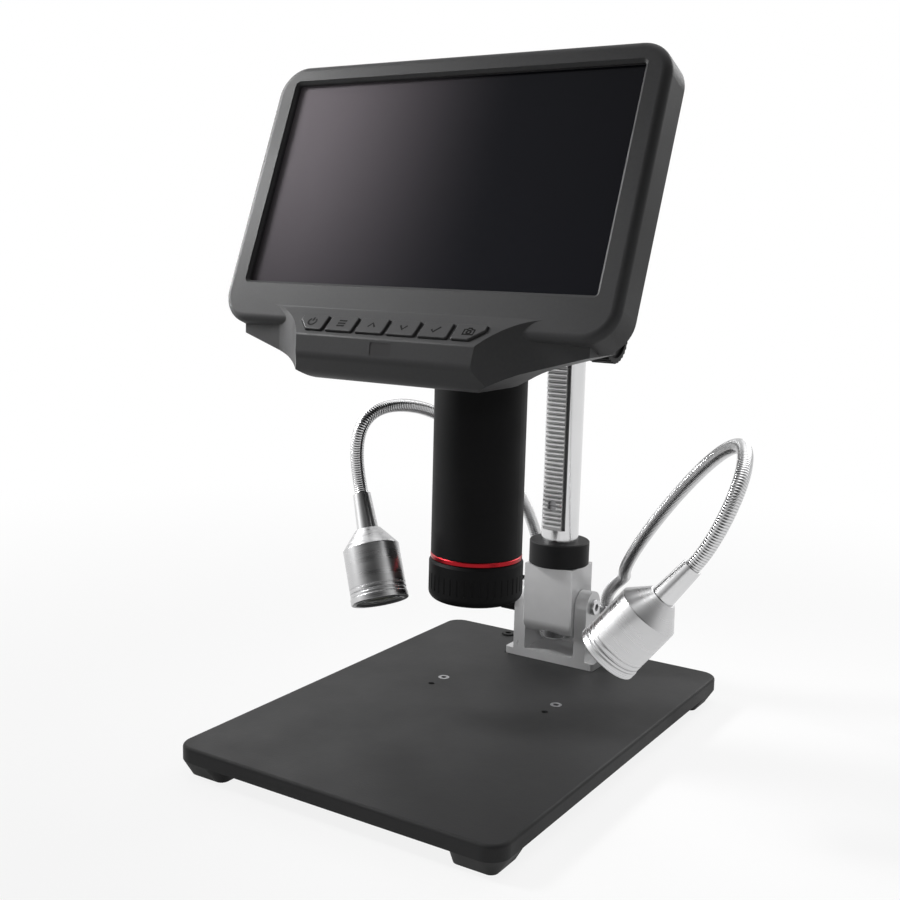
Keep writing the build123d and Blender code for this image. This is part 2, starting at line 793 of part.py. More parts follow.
pad_y0 = tilt_y + column_r + run_fit
with BuildPart() as lock_pad:
    with BuildSketch(Plane.XZ.offset(-pad_y0)):
        with Locations((0, lock_z)):
            Circle(pad_r)
    extrude(amount=-pad_t)
save(lock_pad, "lock_pad")

lock_tip_y = pad_y0 + pad_t + run_fit
lock_knob_y = car_back + lock_knob_stand
with BuildPart() as lock_knob:
    with BuildSketch(Plane.XZ.offset(-lock_knob_y)):
        with Locations((0, lock_z)):
            Circle(lock_knob_r)
            with PolarLocations(lock_knob_r + lock_flute_lift, lock_flutes):
                Circle(lock_flute_r, mode=Mode.SUBTRACT)
    extrude(amount=-lock_knob_w)
    fillet(lock_knob.faces().sort_by(Axis.Y)[-1].edges(), knob_edge)
    with BuildSketch(Plane.XZ.offset(-lock_tip_y)):
        with Locations((0, lock_z)):
            Circle(lock_screw_r - run_fit)
    extrude(amount=-(lock_knob_y - lock_tip_y + lock_knob_w / 2))
save(lock_knob, "lock_knob")

mesh_tooth = round((pinion_z - rack_z0) / tooth_pitch)
mesh_turn = math.degrees((rack_z0 + mesh_tooth * tooth_pitch - pinion_z) / pinion_r)
tooth_angle = 360 / pinion_teeth
root_half = pinion_root_share * tooth_angle
tip_half = pinion_tip_share * tooth_angle
pinion_root_r = pinion_r - gear_root
pinion_tip_r = pinion_r + gear_module
gear_points = []
for k in range(pinion_teeth):
    # a gap of the pinion faces a tooth of the rack
    tooth_mid = mesh_turn + (k + 0.5) * tooth_angle
    tooth_shape = (
        (-root_half, pinion_root_r),
        (-tip_half, pinion_tip_r),
        (tip_half, pinion_tip_r),
        (root_half, pinion_root_r),
    )
    for turn, radius in tooth_shape:
        angle = math.radians(tooth_mid + turn)
        gear_points.append((pinion_y + radius * math.cos(angle), pinion_z + radius * math.sin(angle)))

with BuildPart() as pinion_shaft:
    with BuildSketch(Plane.YZ.offset(-shaft_end)):
        with Locations((pinion_y, pinion_z)):
            Circle(shaft_r)
    extrude(amount=2 * shaft_end)
    chamfer(pinion_shaft.edges().filter_by(GeomType.CIRCLE), shaft_edge)
    with BuildSketch(Plane.YZ.offset(-rack_w / 2)):
        with BuildLine():
            Polyline(*gear_points, close=True)
        make_face()
    extrude(amount=rack_w)
save(pinion_shaft, "pinion_shaft")


def coarse_knob(side):
    """A focusing knob with a fluted rim, a dished face and a hub on the shaft."""
    near = Plane(origin=(side * coarse_in, pinion_y, pinion_z), x_dir=(0, 1, 0), z_dir=(side, 0, 0))
    rim = coarse_out - coarse_in
    with BuildPart() as knob:
        with BuildSketch(near):
            Circle(coarse_r)
            with PolarLocations(coarse_r + coarse_flute_lift, coarse_flutes):
                Circle(coarse_flute_r, mode=Mode.SUBTRACT)
        extrude(amount=rim)
        fillet(knob.faces().sort_by(Axis((0, 0, 0), (side, 0, 0)))[-1].edges(), knob_edge)
        with BuildSketch(near):
            Circle(hub_r)
        extrude(amount=-(coarse_in - car_half - seat_gap))
        with BuildSketch(near.offset(rim)):
            Circle(coarse_r - coarse_rim)
            Circle(hub_r, mode=Mode.SUBTRACT)
        extrude(amount=-coarse_dish, mode=Mode.SUBTRACT)
        with BuildSketch(near.offset(-coarse_in)):
            Circle(shaft_r)
        extrude(amount=shaft_end, mode=Mode.SUBTRACT)
    return knob


coarse_knob_left = coarse_knob(-1)
save(coarse_knob_left, "coarse_knob_left")
coarse_knob_right = coarse_knob(1)
save(coarse_knob_right, "coarse_knob_right")

# ================= holder =================
with BuildPart() as holder:
    with BuildSketch(Plane.XY.offset(holder_z0)):
        Circle(ring_r)
        with Locations((0, car_front / 2)):
            Rectangle(2 * arm_half, car_front)
        with Locations((-ring_r - pinch_len / 2 + pinch_root, 0)):
            Rectangle(pinch_len + 2 * pinch_root, 2 * pinch_half)
    extrude(amount=ring_z1 - holder_z0)
    with BuildSketch(Plane.XY.offset(holder_z0)):
        with Locations((0, car_front - holder_plate_t / 2)):
            Rectangle(2 * holder_plate_half, holder_plate_t)
    extrude(amount=holder_plate_z1 - holder_z0)
    arm_roots = holder.edges().filter_by(Axis.Z).filter_by_position(
        Axis.Y, car_front - holder_plate_t - pick, car_front - holder_plate_t + pick
    ).filter_by_position(Axis.X, -arm_half - pick, arm_half + pick)
    fillet(arm_roots, arm_round)
    with BuildSketch(Plane.XY.offset(holder_z0)):
        Circle(barrel_r)
        with Locations((-ring_r, 0)):
            Rectangle(2 * ring_r, split_w)
    extrude(amount=ring_z1 - holder_z0, mode=Mode.SUBTRACT)
    with BuildSketch(Plane.XZ.offset(-car_front)):
        with Locations((-arm_screw_x, arm_screw_z0), (arm_screw_x, arm_screw_z0)):
            Circle(m4_r + run_fit)
    extrude(amount=holder_plate_t, mode=Mode.SUBTRACT)
    with BuildSketch(Plane.XZ.offset(-pinch_half)):
        with Locations((-ring_r - pinch_len / 2, (holder_z0 + ring_z1) / 2)):
            Circle(pinch_r + run_fit)
    extrude(amount=2 * pinch_half, mode=Mode.SUBTRACT)
save(holder, "holder")

arm_head_y = car_front - holder_plate_t
with BuildPart() as arm_screws:
    with BuildSketch(Plane.XZ.offset(-arm_head_y)):
        with Locations((-arm_screw_x, arm_screw_z0), (arm_screw_x, arm_screw_z0)):
            Circle(m4_head_r)
    extrude(amount=m4_cap_h)
    with BuildSketch(Plane.XZ.offset(-arm_head_y)):
        with Locations((-arm_screw_x, arm_screw_z0), (arm_screw_x, arm_screw_z0)):
            Circle(m4_r)
    extrude(amount=-(holder_plate_t + pinion_y - car_front - seat_gap))
    with BuildSketch(Plane.XZ.offset(-arm_head_y + m4_cap_h)):
        with Locations((-arm_screw_x, arm_screw_z0), (arm_screw_x, arm_screw_z0)):
            RegularPolygon(m4_hex_r, 6)
    extrude(amount=-m4_cap_h / 2, mode=Mode.SUBTRACT)
save(arm_screws, "arm_screws")

pinch_mid = (-ring_r - pinch_len / 2, -pinch_half, (holder_z0 + ring_z1) / 2)
pinch_plane = Plane(origin=pinch_mid, x_dir=(1, 0, 0), z_dir=(0, -1, 0))
with BuildPart() as pinch_screw:
    with BuildSketch(pinch_plane):
        Circle(pinch_knob_r)
        with PolarLocations(pinch_knob_r + pinch_flute_lift, pinch_flutes):
            Circle(pinch_flute_r, mode=Mode.SUBTRACT)
    extrude(amount=pinch_knob_w)
    fillet(pinch_screw.faces().sort_by(Axis.Y)[0].edges(), knob_edge)
    with BuildSketch(pinch_plane):
        Circle(pinch_r)
    extrude(amount=-2 * pinch_half)
save(pinch_screw, "pinch_screw")

# ================= barrel and lens =================
flange_spot_r = (barrel_r + flange_r) / 2
with BuildPart() as barrel:
    with BuildSketch(Plane.XZ):
        with BuildLine():
            Polyline(
                (bore_r, nose_z0),
                (nose_neck_r, nose_z0),
                (nose_neck_r, nose_z0 + nose_ring_h),
                (nose_r, nose_z0 + nose_ring_h),
                (nose_r, band_z1),
                (barrel_r, band_z1),
                (barrel_r, flange_z0),
                (flange_r, flange_z0),
                (flange_r, flange_z0 + flange_t),
                (tube_r, flange_z0 + flange_t),
                (tube_r, band_z1 + wall),
                (bore_r, band_z1 + wall),
                close=True,
            )
        make_face()
    revolve(axis=Axis.Z)
    low_rings = barrel.edges().filter_by(GeomType.CIRCLE).filter_by_position(
        Axis.Z, band_z1 - pick, band_z1 + pick
    )
    chamfer(low_rings.group_by(SortBy.RADIUS)[-1], band_edge)
    with BuildSketch(Plane.XY.offset(flange_z0)):
        with PolarLocations(flange_spot_r, flange_screw_count, start_angle=90):
            Circle(rack_screw_r + run_fit)
    extrude(amount=flange_t, mode=Mode.SUBTRACT)
save(barrel, "barrel")

with BuildPart() as red_band:
    with BuildSketch(Plane.XY.offset(focus_z1 + seat_gap / 2)):
        Circle(barrel_r + band_proud)
        Circle(nose_r, mode=Mode.SUBTRACT)
    extrude(amount=band_z1 - focus_z1 - seat_gap / 2)
    chamfer(red_band.edges().filter_by(GeomType.CIRCLE).group_by(SortBy.RADIUS)[-1], band_edge)
save(red_band, "red_band")

focus_bore = nose_r + run_fit
with BuildPart() as focus_ring:
    with BuildSketch(Plane.XZ):
        with BuildLine():
            Line((nose_ring_r + seat_gap, focus_z0), (focus_r - focus_round, focus_z0))
            CenterArc((focus_r - focus_round, focus_z0 + focus_round), focus_round, -90, 90)
            Polyline(
                (focus_r, focus_z0 + focus_round),
                (focus_r, focus_z1 - focus_back_h),
                (focus_r - focus_back_r, focus_z1),
                (focus_bore, focus_z1),
                (focus_bore, nose_z0 + nose_ring_h + seat_gap),
                (nose_ring_r + seat_gap, nose_z0 + nose_ring_h + seat_gap),
                (nose_ring_r + seat_gap, focus_z0),
            )
        make_face()
    revolve(axis=Axis.Z)
    with BuildSketch(Plane.XY.offset(focus_z0 + focus_round + focus_flute_lead)):
        with PolarLocations(focus_r + focus_flute_lift, focus_flutes):
            Circle(focus_flute_r)
    extrude(amount=focus_flute_len, mode=Mode.SUBTRACT)
save(focus_ring, "focus_ring")

with BuildPart() as nose_ring:
    with BuildSketch(Plane.XY.offset(nose_z0)):
        Circle(nose_ring_r)
        Circle(nose_neck_r, mode=Mode.SUBTRACT)
    extrude(amount=nose_ring_h)
save(nose_ring, "nose_ring")

lens_z = cell_z0 + (cell_h - lens_t) / 2
with BuildPart() as lens_cell:
    with BuildSketch(Plane.XZ):
        with BuildLine():
            Polyline(
                (lens_r - cell_land, lens_z),
                (bore_r - cell_mouth, cell_z0),
                (bore_r - run_fit, cell_z0),
                (bore_r - run_fit, cell_z0 + cell_h),
                (lens_r + cell_ledge, cell_z0 + cell_h),
                (lens_r, lens_z + lens_t),
                (lens_r, lens_z),
                close=True,
            )
        make_face()
    revolve(axis=Axis.Z)
save(lens_cell, "lens_cell")

lens_cap_r = (lens_r ** 2 + lens_bulge ** 2) / 2 / lens_bulge
lens_mid_z = lens_z + lens_t - lens_cap_r + math.sqrt(lens_cap_r ** 2 - (lens_r / 2) ** 2)
lens_mid = (lens_r / 2, lens_mid_z)
with BuildPart() as lens_glass:
    with BuildSketch(Plane.XZ):
        with BuildLine():
            Line((0, lens_z), (lens_r, lens_z))
            Line((lens_r, lens_z), (lens_r, lens_z + lens_t - lens_bulge))
            ThreePointArc((lens_r, lens_z + lens_t - lens_bulge), lens_mid, (0, lens_z + lens_t))
            Line((0, lens_z + lens_t), (0, lens_z))
        make_face()
    revolve(axis=Axis.Z)
save(lens_glass, "lens_glass")

with BuildPart() as sensor_board:
    with BuildSketch(Plane.XY.offset(flange_z0 + flange_t)):
        RectangleRounded(2 * sensor_half, 2 * sensor_half, board_r)
    extrude(amount=pcb_t)
    with BuildSketch(Plane.XY.offset(flange_z0 + flange_t)):
        Rectangle(sensor_chip_w, sensor_chip_d)
    extrude(amount=-chip_h)
    with BuildSketch(Plane.XY.offset(flange_z0 + flange_t + pcb_t)):
        with GridLocations(sensor_half, sensor_half, 2, 2):
            Rectangle(sensor_part_w, sensor_part_d)
    extrude(amount=sensor_part_h)
save(sensor_board, "sensor_board")

# ================= monitor housing =================
housing_h = housing_top - housing_bottom
housing_mid = (housing_top + housing_bottom) / 2
back_depth = side_depth + dome_depth


def console_form(inset):
    """Key console as the common part of its side, front and plan outlines."""
    with BuildPart() as console:
        with BuildSketch(Plane.YZ.offset(-housing_w / 2)) as side_view:
            with BuildLine():
                Polyline(
                    (shelf_back_y, shelf_back_z),
                    (shelf_front_y, shelf_front_z),
                    (nose_y, nose_z),
                    (nose_y + chin_run, console_floor_z),
                    (console_back_y, console_floor_z),
                    (console_back_y, console_root_z),
                    (console_root_y, console_root_z),
                    close=True,
                )
            make_face()
            for corner, radius in (
                ((shelf_front_y, shelf_front_z), shelf_round),
                ((nose_y, nose_z), nose_round),
                ((nose_y + chin_run, console_floor_z), chin_round),
            ):
                fillet(side_view.vertices().sort_by_distance(corner)[0], radius)
            if inset:
                offset(amount=-inset, mode=Mode.REPLACE)
        extrude(amount=housing_w, dir=(1, 0, 0))
        knee = Vector(console_half_knee, console_knee_z)
        to_floor = (Vector(console_half_floor, console_floor_z) - knee).normalized()
        to_root = (Vector(console_half_root, console_root_low) - knee).normalized()
        knee_low = knee + to_floor * knee_run
        knee_high = knee + to_root * knee_run
        knee_mid = (knee_low + knee_high + knee * 2) / 4
        with BuildSketch(Plane.XZ.offset(-console_back_y)):
            with BuildLine():
                Polyline(
                    (0, console_floor_z),
                    (console_half_floor - chin_cut, console_floor_z),
                    (console_half_floor + chin_cut / 2, console_floor_z + chin_cut / 2),
                    knee_low,
                )
                ThreePointArc(knee_low, knee_mid, knee_high)
                Polyline(
                    knee_high,
                    (console_half_root, console_root_low),
                    (console_half_root, console_root_z),
                    (0, console_root_z),
                )
                mirror(about=Plane.YZ)
            make_face()
            if inset:
                offset(amount=-inset, mode=Mode.REPLACE)
        extrude(amount=housing_w, dir=(0, -1, 0), mode=Mode.INTERSECT)
        with BuildSketch(Plane.XY.offset(console_floor_z)):
            with BuildLine() as plan_view:
                Polyline(
                    (0, nose_y - wall),
                    (console_half_front - console_mid, nose_y - wall),
                    (console_half_front, nose_y + console_mid_run),
                )
                ThreePointArc(
                    (console_half_front, nose_y + console_mid_run),
                    (console_half_front + console_sweep_x, nose_y + console_sweep_y),
                    (console_half_shelf, shelf_back_y),
                )
                Polyline(
                    (console_half_shelf, shelf_back_y),
                    (console_half_root, shelf_back_y + console_wing_fall),
                    (console_half_root, console_back_y),
                    (0, console_back_y),
                )
                mirror(about=Plane.YZ)
            make_face()
            if inset:
                offset(amount=-inset, mode=Mode.REPLACE)
        extrude(amount=housing_w, dir=(0, 0, 1), mode=Mode.INTERSECT)
    return console.part


def bulge_form(inset):
    """Box behind the screen that carries the barrel and its sensor."""
    with BuildPart() as bulge:
        with BuildSketch(Plane.YZ.offset(-bulge_half + inset)):
            Polygon(
                (bulge_front_y, bulge_floor_z + inset),
                (bulge_back_y - inset, bulge_floor_z + inset),
                (bulge_back_y - inset, bulge_rear_z - inset / 2),
                (bulge_top_y, bulge_top_z - inset),
                (bulge_front_y + bulge_r, bulge_top_z - inset),
                align=None,
            )
        extrude(amount=2 * (bulge_half - inset))
        rear_face = bulge.faces().sort_by(Axis.Y)[-1]
        fillet(rear_face.edges(), bulge_r - inset)
    return bulge.part


def housing_form(inset):
    """Outer form of the monitor housing; with an inset, the hollow inside it."""
    front_skip = bezel_t if inset else 0
    with BuildPart() as form:
        with BuildSketch(face_plane.offset(-front_skip)):
            with Locations((0, housing_mid)):
                RectangleRounded(housing_w - 2 * inset, housing_h - 2 * inset, housing_r - inset)
        extrude(amount=-(side_depth - front_skip))
        if not inset:
            fillet(form.faces().sort_by(Axis((0, 0, 0), screen_normal))[-1].edges(), bezel_round)
        with BuildSketch(parting_plane):
            with Locations((0, housing_mid)):
                RectangleRounded(housing_w - 2 * inset, housing_h - 2 * inset, housing_r - inset)
        extrude(amount=-(dome_depth - inset), taper=dome_taper)
        if not inset:
            fillet(form.faces().sort_by(Axis((0, 0, 0), screen_normal))[0].edges(), dome_round)
        add(bulge_form(inset))
        add(console_form(inset))
    return form.part


outer_form = housing_form(0)
boss_spots = [(sx * boss_u, v) for sx in (-1, 1) for v in (boss_low, boss_top)]
with BuildPart() as hollow:
    add(housing_form(wall))
    with BuildSketch(face_plane):
        with Locations(*boss_spots):
            Circle(boss_r)
    extrude(amount=-2 * back_depth, mode=Mode.SUBTRACT)

shelf_len = math.hypot(shelf_back_y - shelf_front_y, shelf_back_z - shelf_front_z)
shelf_dir_y = (shelf_back_y - shelf_front_y) / shelf_len
shelf_dir_z = (shelf_back_z - shelf_front_z) / shelf_len
shelf_mid = (0, (shelf_back_y + shelf_front_y) / 2, (shelf_back_z + shelf_front_z) / 2)
shelf_plane = Plane(origin=shelf_mid, x_dir=(1, 0, 0), z_dir=(0, -shelf_dir_z, shelf_dir_y))
key_spots = [((k - (key_count - 1) / 2) * key_pitch, key_v) for k in range(key_count)]
end_key_x = (key_count - 1) / 2 * key_pitch + key_w / 2
end_key_v = key_v - key_d / 2


def end_cut_spots(grow):
    """Front outer corners of the end keys, for outlines grown by a margin."""
    return [(side * (end_key_x + grow), end_key_v - grow) for side in (-1, 1)]


def end_cut_side(grow):
    """Side of the square that cuts such a corner and keeps the margin along the slant."""
    return math.sqrt(2) * (key_cut + (2 - math.sqrt(2)) * grow)


brow_len = math.hypot(nose_y - shelf_front_y, shelf_front_z - nose_z)
brow_normal = (0, -(shelf_front_z - nose_z) / brow_len, (shelf_front_y - nose_y) / brow_len)
ir_y = nose_y + (shelf_front_y - nose_y) * (ir_z - nose_z) / (shelf_front_z - nose_z)
ir_plane = Plane(origin=(0, ir_y, ir_z), x_dir=(1, 0, 0), z_dir=brow_normal)

with BuildPart() as front_shell:
    add(outer_form)
    add(hollow.part, mode=Mode.SUBTRACT)
    with BuildSketch(parting_plane):
        Rectangle(2 * housing_w, 2 * housing_w)
    extrude(amount=housing_w, mode=Mode.INTERSECT)
    with BuildSketch(face_plane.offset(-bezel_t)):
        RectangleRounded(view_w, view_h, view_r)
    extrude(amount=bezel_t, mode=Mode.SUBTRACT)
    with BuildSketch(face_plane):
        RectangleRounded(view_w + 2 * bezel_chamfer, view_h + 2 * bezel_chamfer, view_r + bezel_chamfer)
    extrude(amount=-bezel_chamfer, taper=45, mode=Mode.SUBTRACT)
    with BuildSketch(shelf_plane.offset(key_proud)):
        with Locations(*key_spots):
            RectangleRounded(key_w + 2 * key_gap, key_d + 2 * key_gap, key_r + key_gap)
        with Locations(*end_cut_spots(key_gap)):
            Rectangle(end_cut_side(key_gap), end_cut_side(key_gap), rotation=45, mode=Mode.SUBTRACT)
    extrude(amount=-(key_proud + wall + key_cut_over), mode=Mode.SUBTRACT)
    with BuildSketch(ir_plane):
        RectangleRounded(ir_w, ir_h, key_r)
    extrude(amount=-ir_t, mode=Mode.SUBTRACT)
    with BuildSketch(parting_plane):
        with Locations(*boss_spots):
            Circle(shell_screw_r)
    extrude(amount=side_depth - 2 * bezel_t, mode=Mode.SUBTRACT)
save(front_shell, "front_shell")

with BuildPart() as rear_shell:
    add(outer_form)
    add(hollow.part, mode=Mode.SUBTRACT)
    with BuildSketch(parting_plane):
        Rectangle(2 * housing_w, 2 * housing_w)
    extrude(amount=-housing_w, mode=Mode.INTERSECT)
    with BuildSketch(parting_plane):
        with Locations(*boss_spots):
            Circle(shell_screw_r + run_fit)
    extrude(amount=-dome_depth, mode=Mode.SUBTRACT)
    with BuildSketch(parting_plane.offset(-shell_seat)):
        with Locations(*boss_spots):
            Circle(shell_head_r + run_fit)
    extrude(amount=-dome_depth, mode=Mode.SUBTRACT)
    with BuildSketch(Plane.XY.offset(bulge_floor_z)):
        Circle(flange_r)
    extrude(amount=flange_z0 - bulge_floor_z)
    with BuildSketch(Plane.XY.offset(bulge_floor_z)):
        Circle(barrel_r + run_fit)
    extrude(amount=flange_z0 - bulge_floor_z, mode=Mode.SUBTRACT)
    with BuildSketch(Plane.XY.offset(flange_z0)):
        with PolarLocations(flange_spot_r, flange_screw_count, start_angle=90):
            Circle(rack_screw_r)
    extrude(amount=-(flange_z0 - bulge_floor_z - flange_floor), mode=Mode.SUBTRACT)
save(rear_shell, "rear_shell")


with BuildPart() as shell_screws:
    with BuildSketch(parting_plane.offset(-shell_seat)):
        with Locations(*boss_spots):
            Circle(shell_head_r)
    extrude(amount=-shell_head_h)
    with BuildSketch(parting_plane.offset(-shell_seat)):
        with Locations(*boss_spots):
            Circle(shell_screw_r)
    extrude(amount=shell_seat + side_depth - 2 * bezel_t - shell_screw_free)
    with BuildSketch(parting_plane.offset(-shell_seat - shell_head_h)):
        with Locations(*boss_spots):
            Rectangle(shell_head_r, shell_head_h / 3)
            Rectangle(shell_head_h / 3, shell_head_r)
    extrude(amount=shell_head_h / 2, mode=Mode.SUBTRACT)
save(shell_screws, "shell_screws")

with BuildPart() as flange_screws:
    with BuildSketch(Plane.XY.offset(flange_z0 + flange_t)):
        with PolarLocations(flange_spot_r, flange_screw_count, start_angle=90):
            Circle(rack_head_r)
    extrude(amount=rack_head_h)
    with BuildSketch(Plane.XY.offset(flange_z0 + flange_t)):
        with PolarLocations(flange_spot_r, flange_screw_count, start_angle=90):
            Circle(rack_screw_r)
    extrude(amount=-(flange_t + flange_z0 - bulge_floor_z - flange_floor - seat_gap))
    with BuildSketch(Plane.XY.offset(flange_z0 + flange_t + rack_head_h)):
        with PolarLocations(flange_spot_r, flange_screw_count, start_angle=90):
            Rectangle(2 * rack_head_r, rack_head_h / 3)
    extrude(amount=-rack_head_h / 2, mode=Mode.SUBTRACT)
save(flange_screws, "flange_screws")

# ---- display, boards and keys ----
with BuildPart() as lcd_panel:
    with BuildSketch(face_plane.offset(-bezel_t)):
        RectangleRounded(panel_w, panel_h, view_r)
    extrude(amount=-panel_t)
save(lcd_panel, "lcd_panel")

tray_face = face_plane.offset(-bezel_t - panel_t)
standoff_x = panel_w / 2 - standoff_inset_x
standoff_y = panel_h / 2 - standoff_inset_y
standoff_spots = [(sx * standoff_x, sy * standoff_y) for sx in (-1, 1) for sy in (-1, 1)]
with BuildPart() as lcd_tray:
    with BuildSketch(tray_face):
        RectangleRounded(panel_w, panel_h, view_r)
    extrude(amount=-tray_t)
    with BuildSketch(tray_face.offset(-tray_t)):
        with Locations(*standoff_spots):
            Circle(shell_head_r)
    extrude(amount=-board_gap)
    with BuildSketch(tray_face.offset(-tray_t - board_gap)):
        with Locations(*standoff_spots):
            Circle(shell_screw_r)
    extrude(amount=-pcb_t - shell_head_h / 2)
save(lcd_tray, "lcd_tray")

board_plane = face_plane.offset(-bezel_t - panel_t - tray_t - board_gap)
board_w = panel_w - 2 * board_inset_x
board_h = panel_h - 2 * board_inset_y
with BuildPart() as main_board:
    with BuildSketch(board_plane):
        RectangleRounded(board_w, board_h, board_r)
        with Locations(*standoff_spots):
            Circle(shell_screw_r + run_fit, mode=Mode.SUBTRACT)
    extrude(amount=-pcb_t)
    with BuildSketch(board_plane.offset(-pcb_t)):
        Rectangle(board_h / 5, board_h / 5)
        with Locations((board_w / 5, board_h / 5), (board_w / 5, -board_h / 8)):
            Rectangle(board_h / 7, board_h / 6)
        with Locations((-board_w / 4, 0)):
            Rectangle(board_h / 6, board_h / 4)
    extrude(amount=-chip_h)
    with BuildSketch(board_plane.offset(-pcb_t)):
        with Locations((-board_w / 4, board_h / 3), (board_w / 4, -board_h / 3)):
            Rectangle(board_h / 5, board_h / 14)
    extrude(amount=-2 * chip_h)
save(main_board, "main_board")

key_names = ["key_power", "key_menu", "key_up", "key_down", "key_ok", "key_shot"]
for spot, name in zip(key_spots, key_names):
    with BuildPart() as key:
        with BuildSketch(shelf_plane.offset(key_proud)):
            with Locations(spot):
                RectangleRounded(key_w, key_d, key_r)
            with Locations(*end_cut_spots(0)):
                Rectangle(end_cut_side(0), end_cut_side(0), rotation=45, mode=Mode.SUBTRACT)
        extrude(amount=-(key_proud + key_depth))
        fillet(key.faces().sort_by(Axis((0, 0, 0), tuple(shelf_plane.z_dir)))[-1].edges(), key_edge)
        with BuildSketch(shelf_plane.offset(-key_depth)):
            with Locations(spot):
                RectangleRounded(key_w + 2 * key_lip, key_d + 2 * key_lip, key_r)
            with Locations(*end_cut_spots(key_lip)):
                Rectangle(end_cut_side(key_lip), end_cut_side(key_lip), rotation=45, mode=Mode.SUBTRACT)
        extrude(amount=key_lip_t)
    save(key, name)

key_board_drop = key_depth + key_travel + 2 * run_fit + switch_h
with BuildPart() as key_board:
    with BuildSketch(shelf_plane.offset(-key_board_drop)):
        with Locations((0, key_v)):
            RectangleRounded(key_count * key_pitch - key_board_trim, key_d + key_board_r, key_board_r)
    extrude(amount=-pcb_t)
    with BuildSketch(shelf_plane.offset(-key_board_drop)):
        with Locations(*key_spots):
            Rectangle(switch_w, switch_w)
    extrude(amount=switch_body)
    with BuildSketch(shelf_plane.offset(-key_board_drop)):
        with Locations(*key_spots):
            Circle(plunger_r)
    extrude(amount=switch_h)
save(key_board, "key_board")

with BuildPart() as ir_window:
    with BuildSketch(ir_plane.offset(-seat_gap / 2)):
        RectangleRounded(ir_w, ir_h, key_r)
    extrude(amount=-(ir_t - seat_gap / 2))
save(ir_window, "ir_window")

# ================= lamps =================
def unit(v):
    size = math.sqrt(sum(c * c for c in v))
    return tuple(c / size for c in v)


def neck_route(root, rise, bends, tip, back, drop):
    """Centre line of a gooseneck: straight ends, and one smooth curve from each bend to the next.

    A bend is its point, its direction and how far the curve holds that direction before and after.
    """
    low = Vector(*root) + Vector(0, 0, root_h / 2 + neck_stub)
    high = Vector(*tip) + Vector(*back) * (sleeve_bore + neck_stub)
    with BuildLine() as route:
        Line(Vector(*root), low)
        here, held = low, low + Vector(0, 0, rise)
        for point, way, before, after in bends:
            there = Vector(*point)
            along = Vector(*unit(way))
            Bezier(here, held, there - along * before, there)
            here, held = there, there + along * after
        Bezier(here, held, high + Vector(*back) * drop, high)
        Line(high, Vector(*tip))
    return route.line


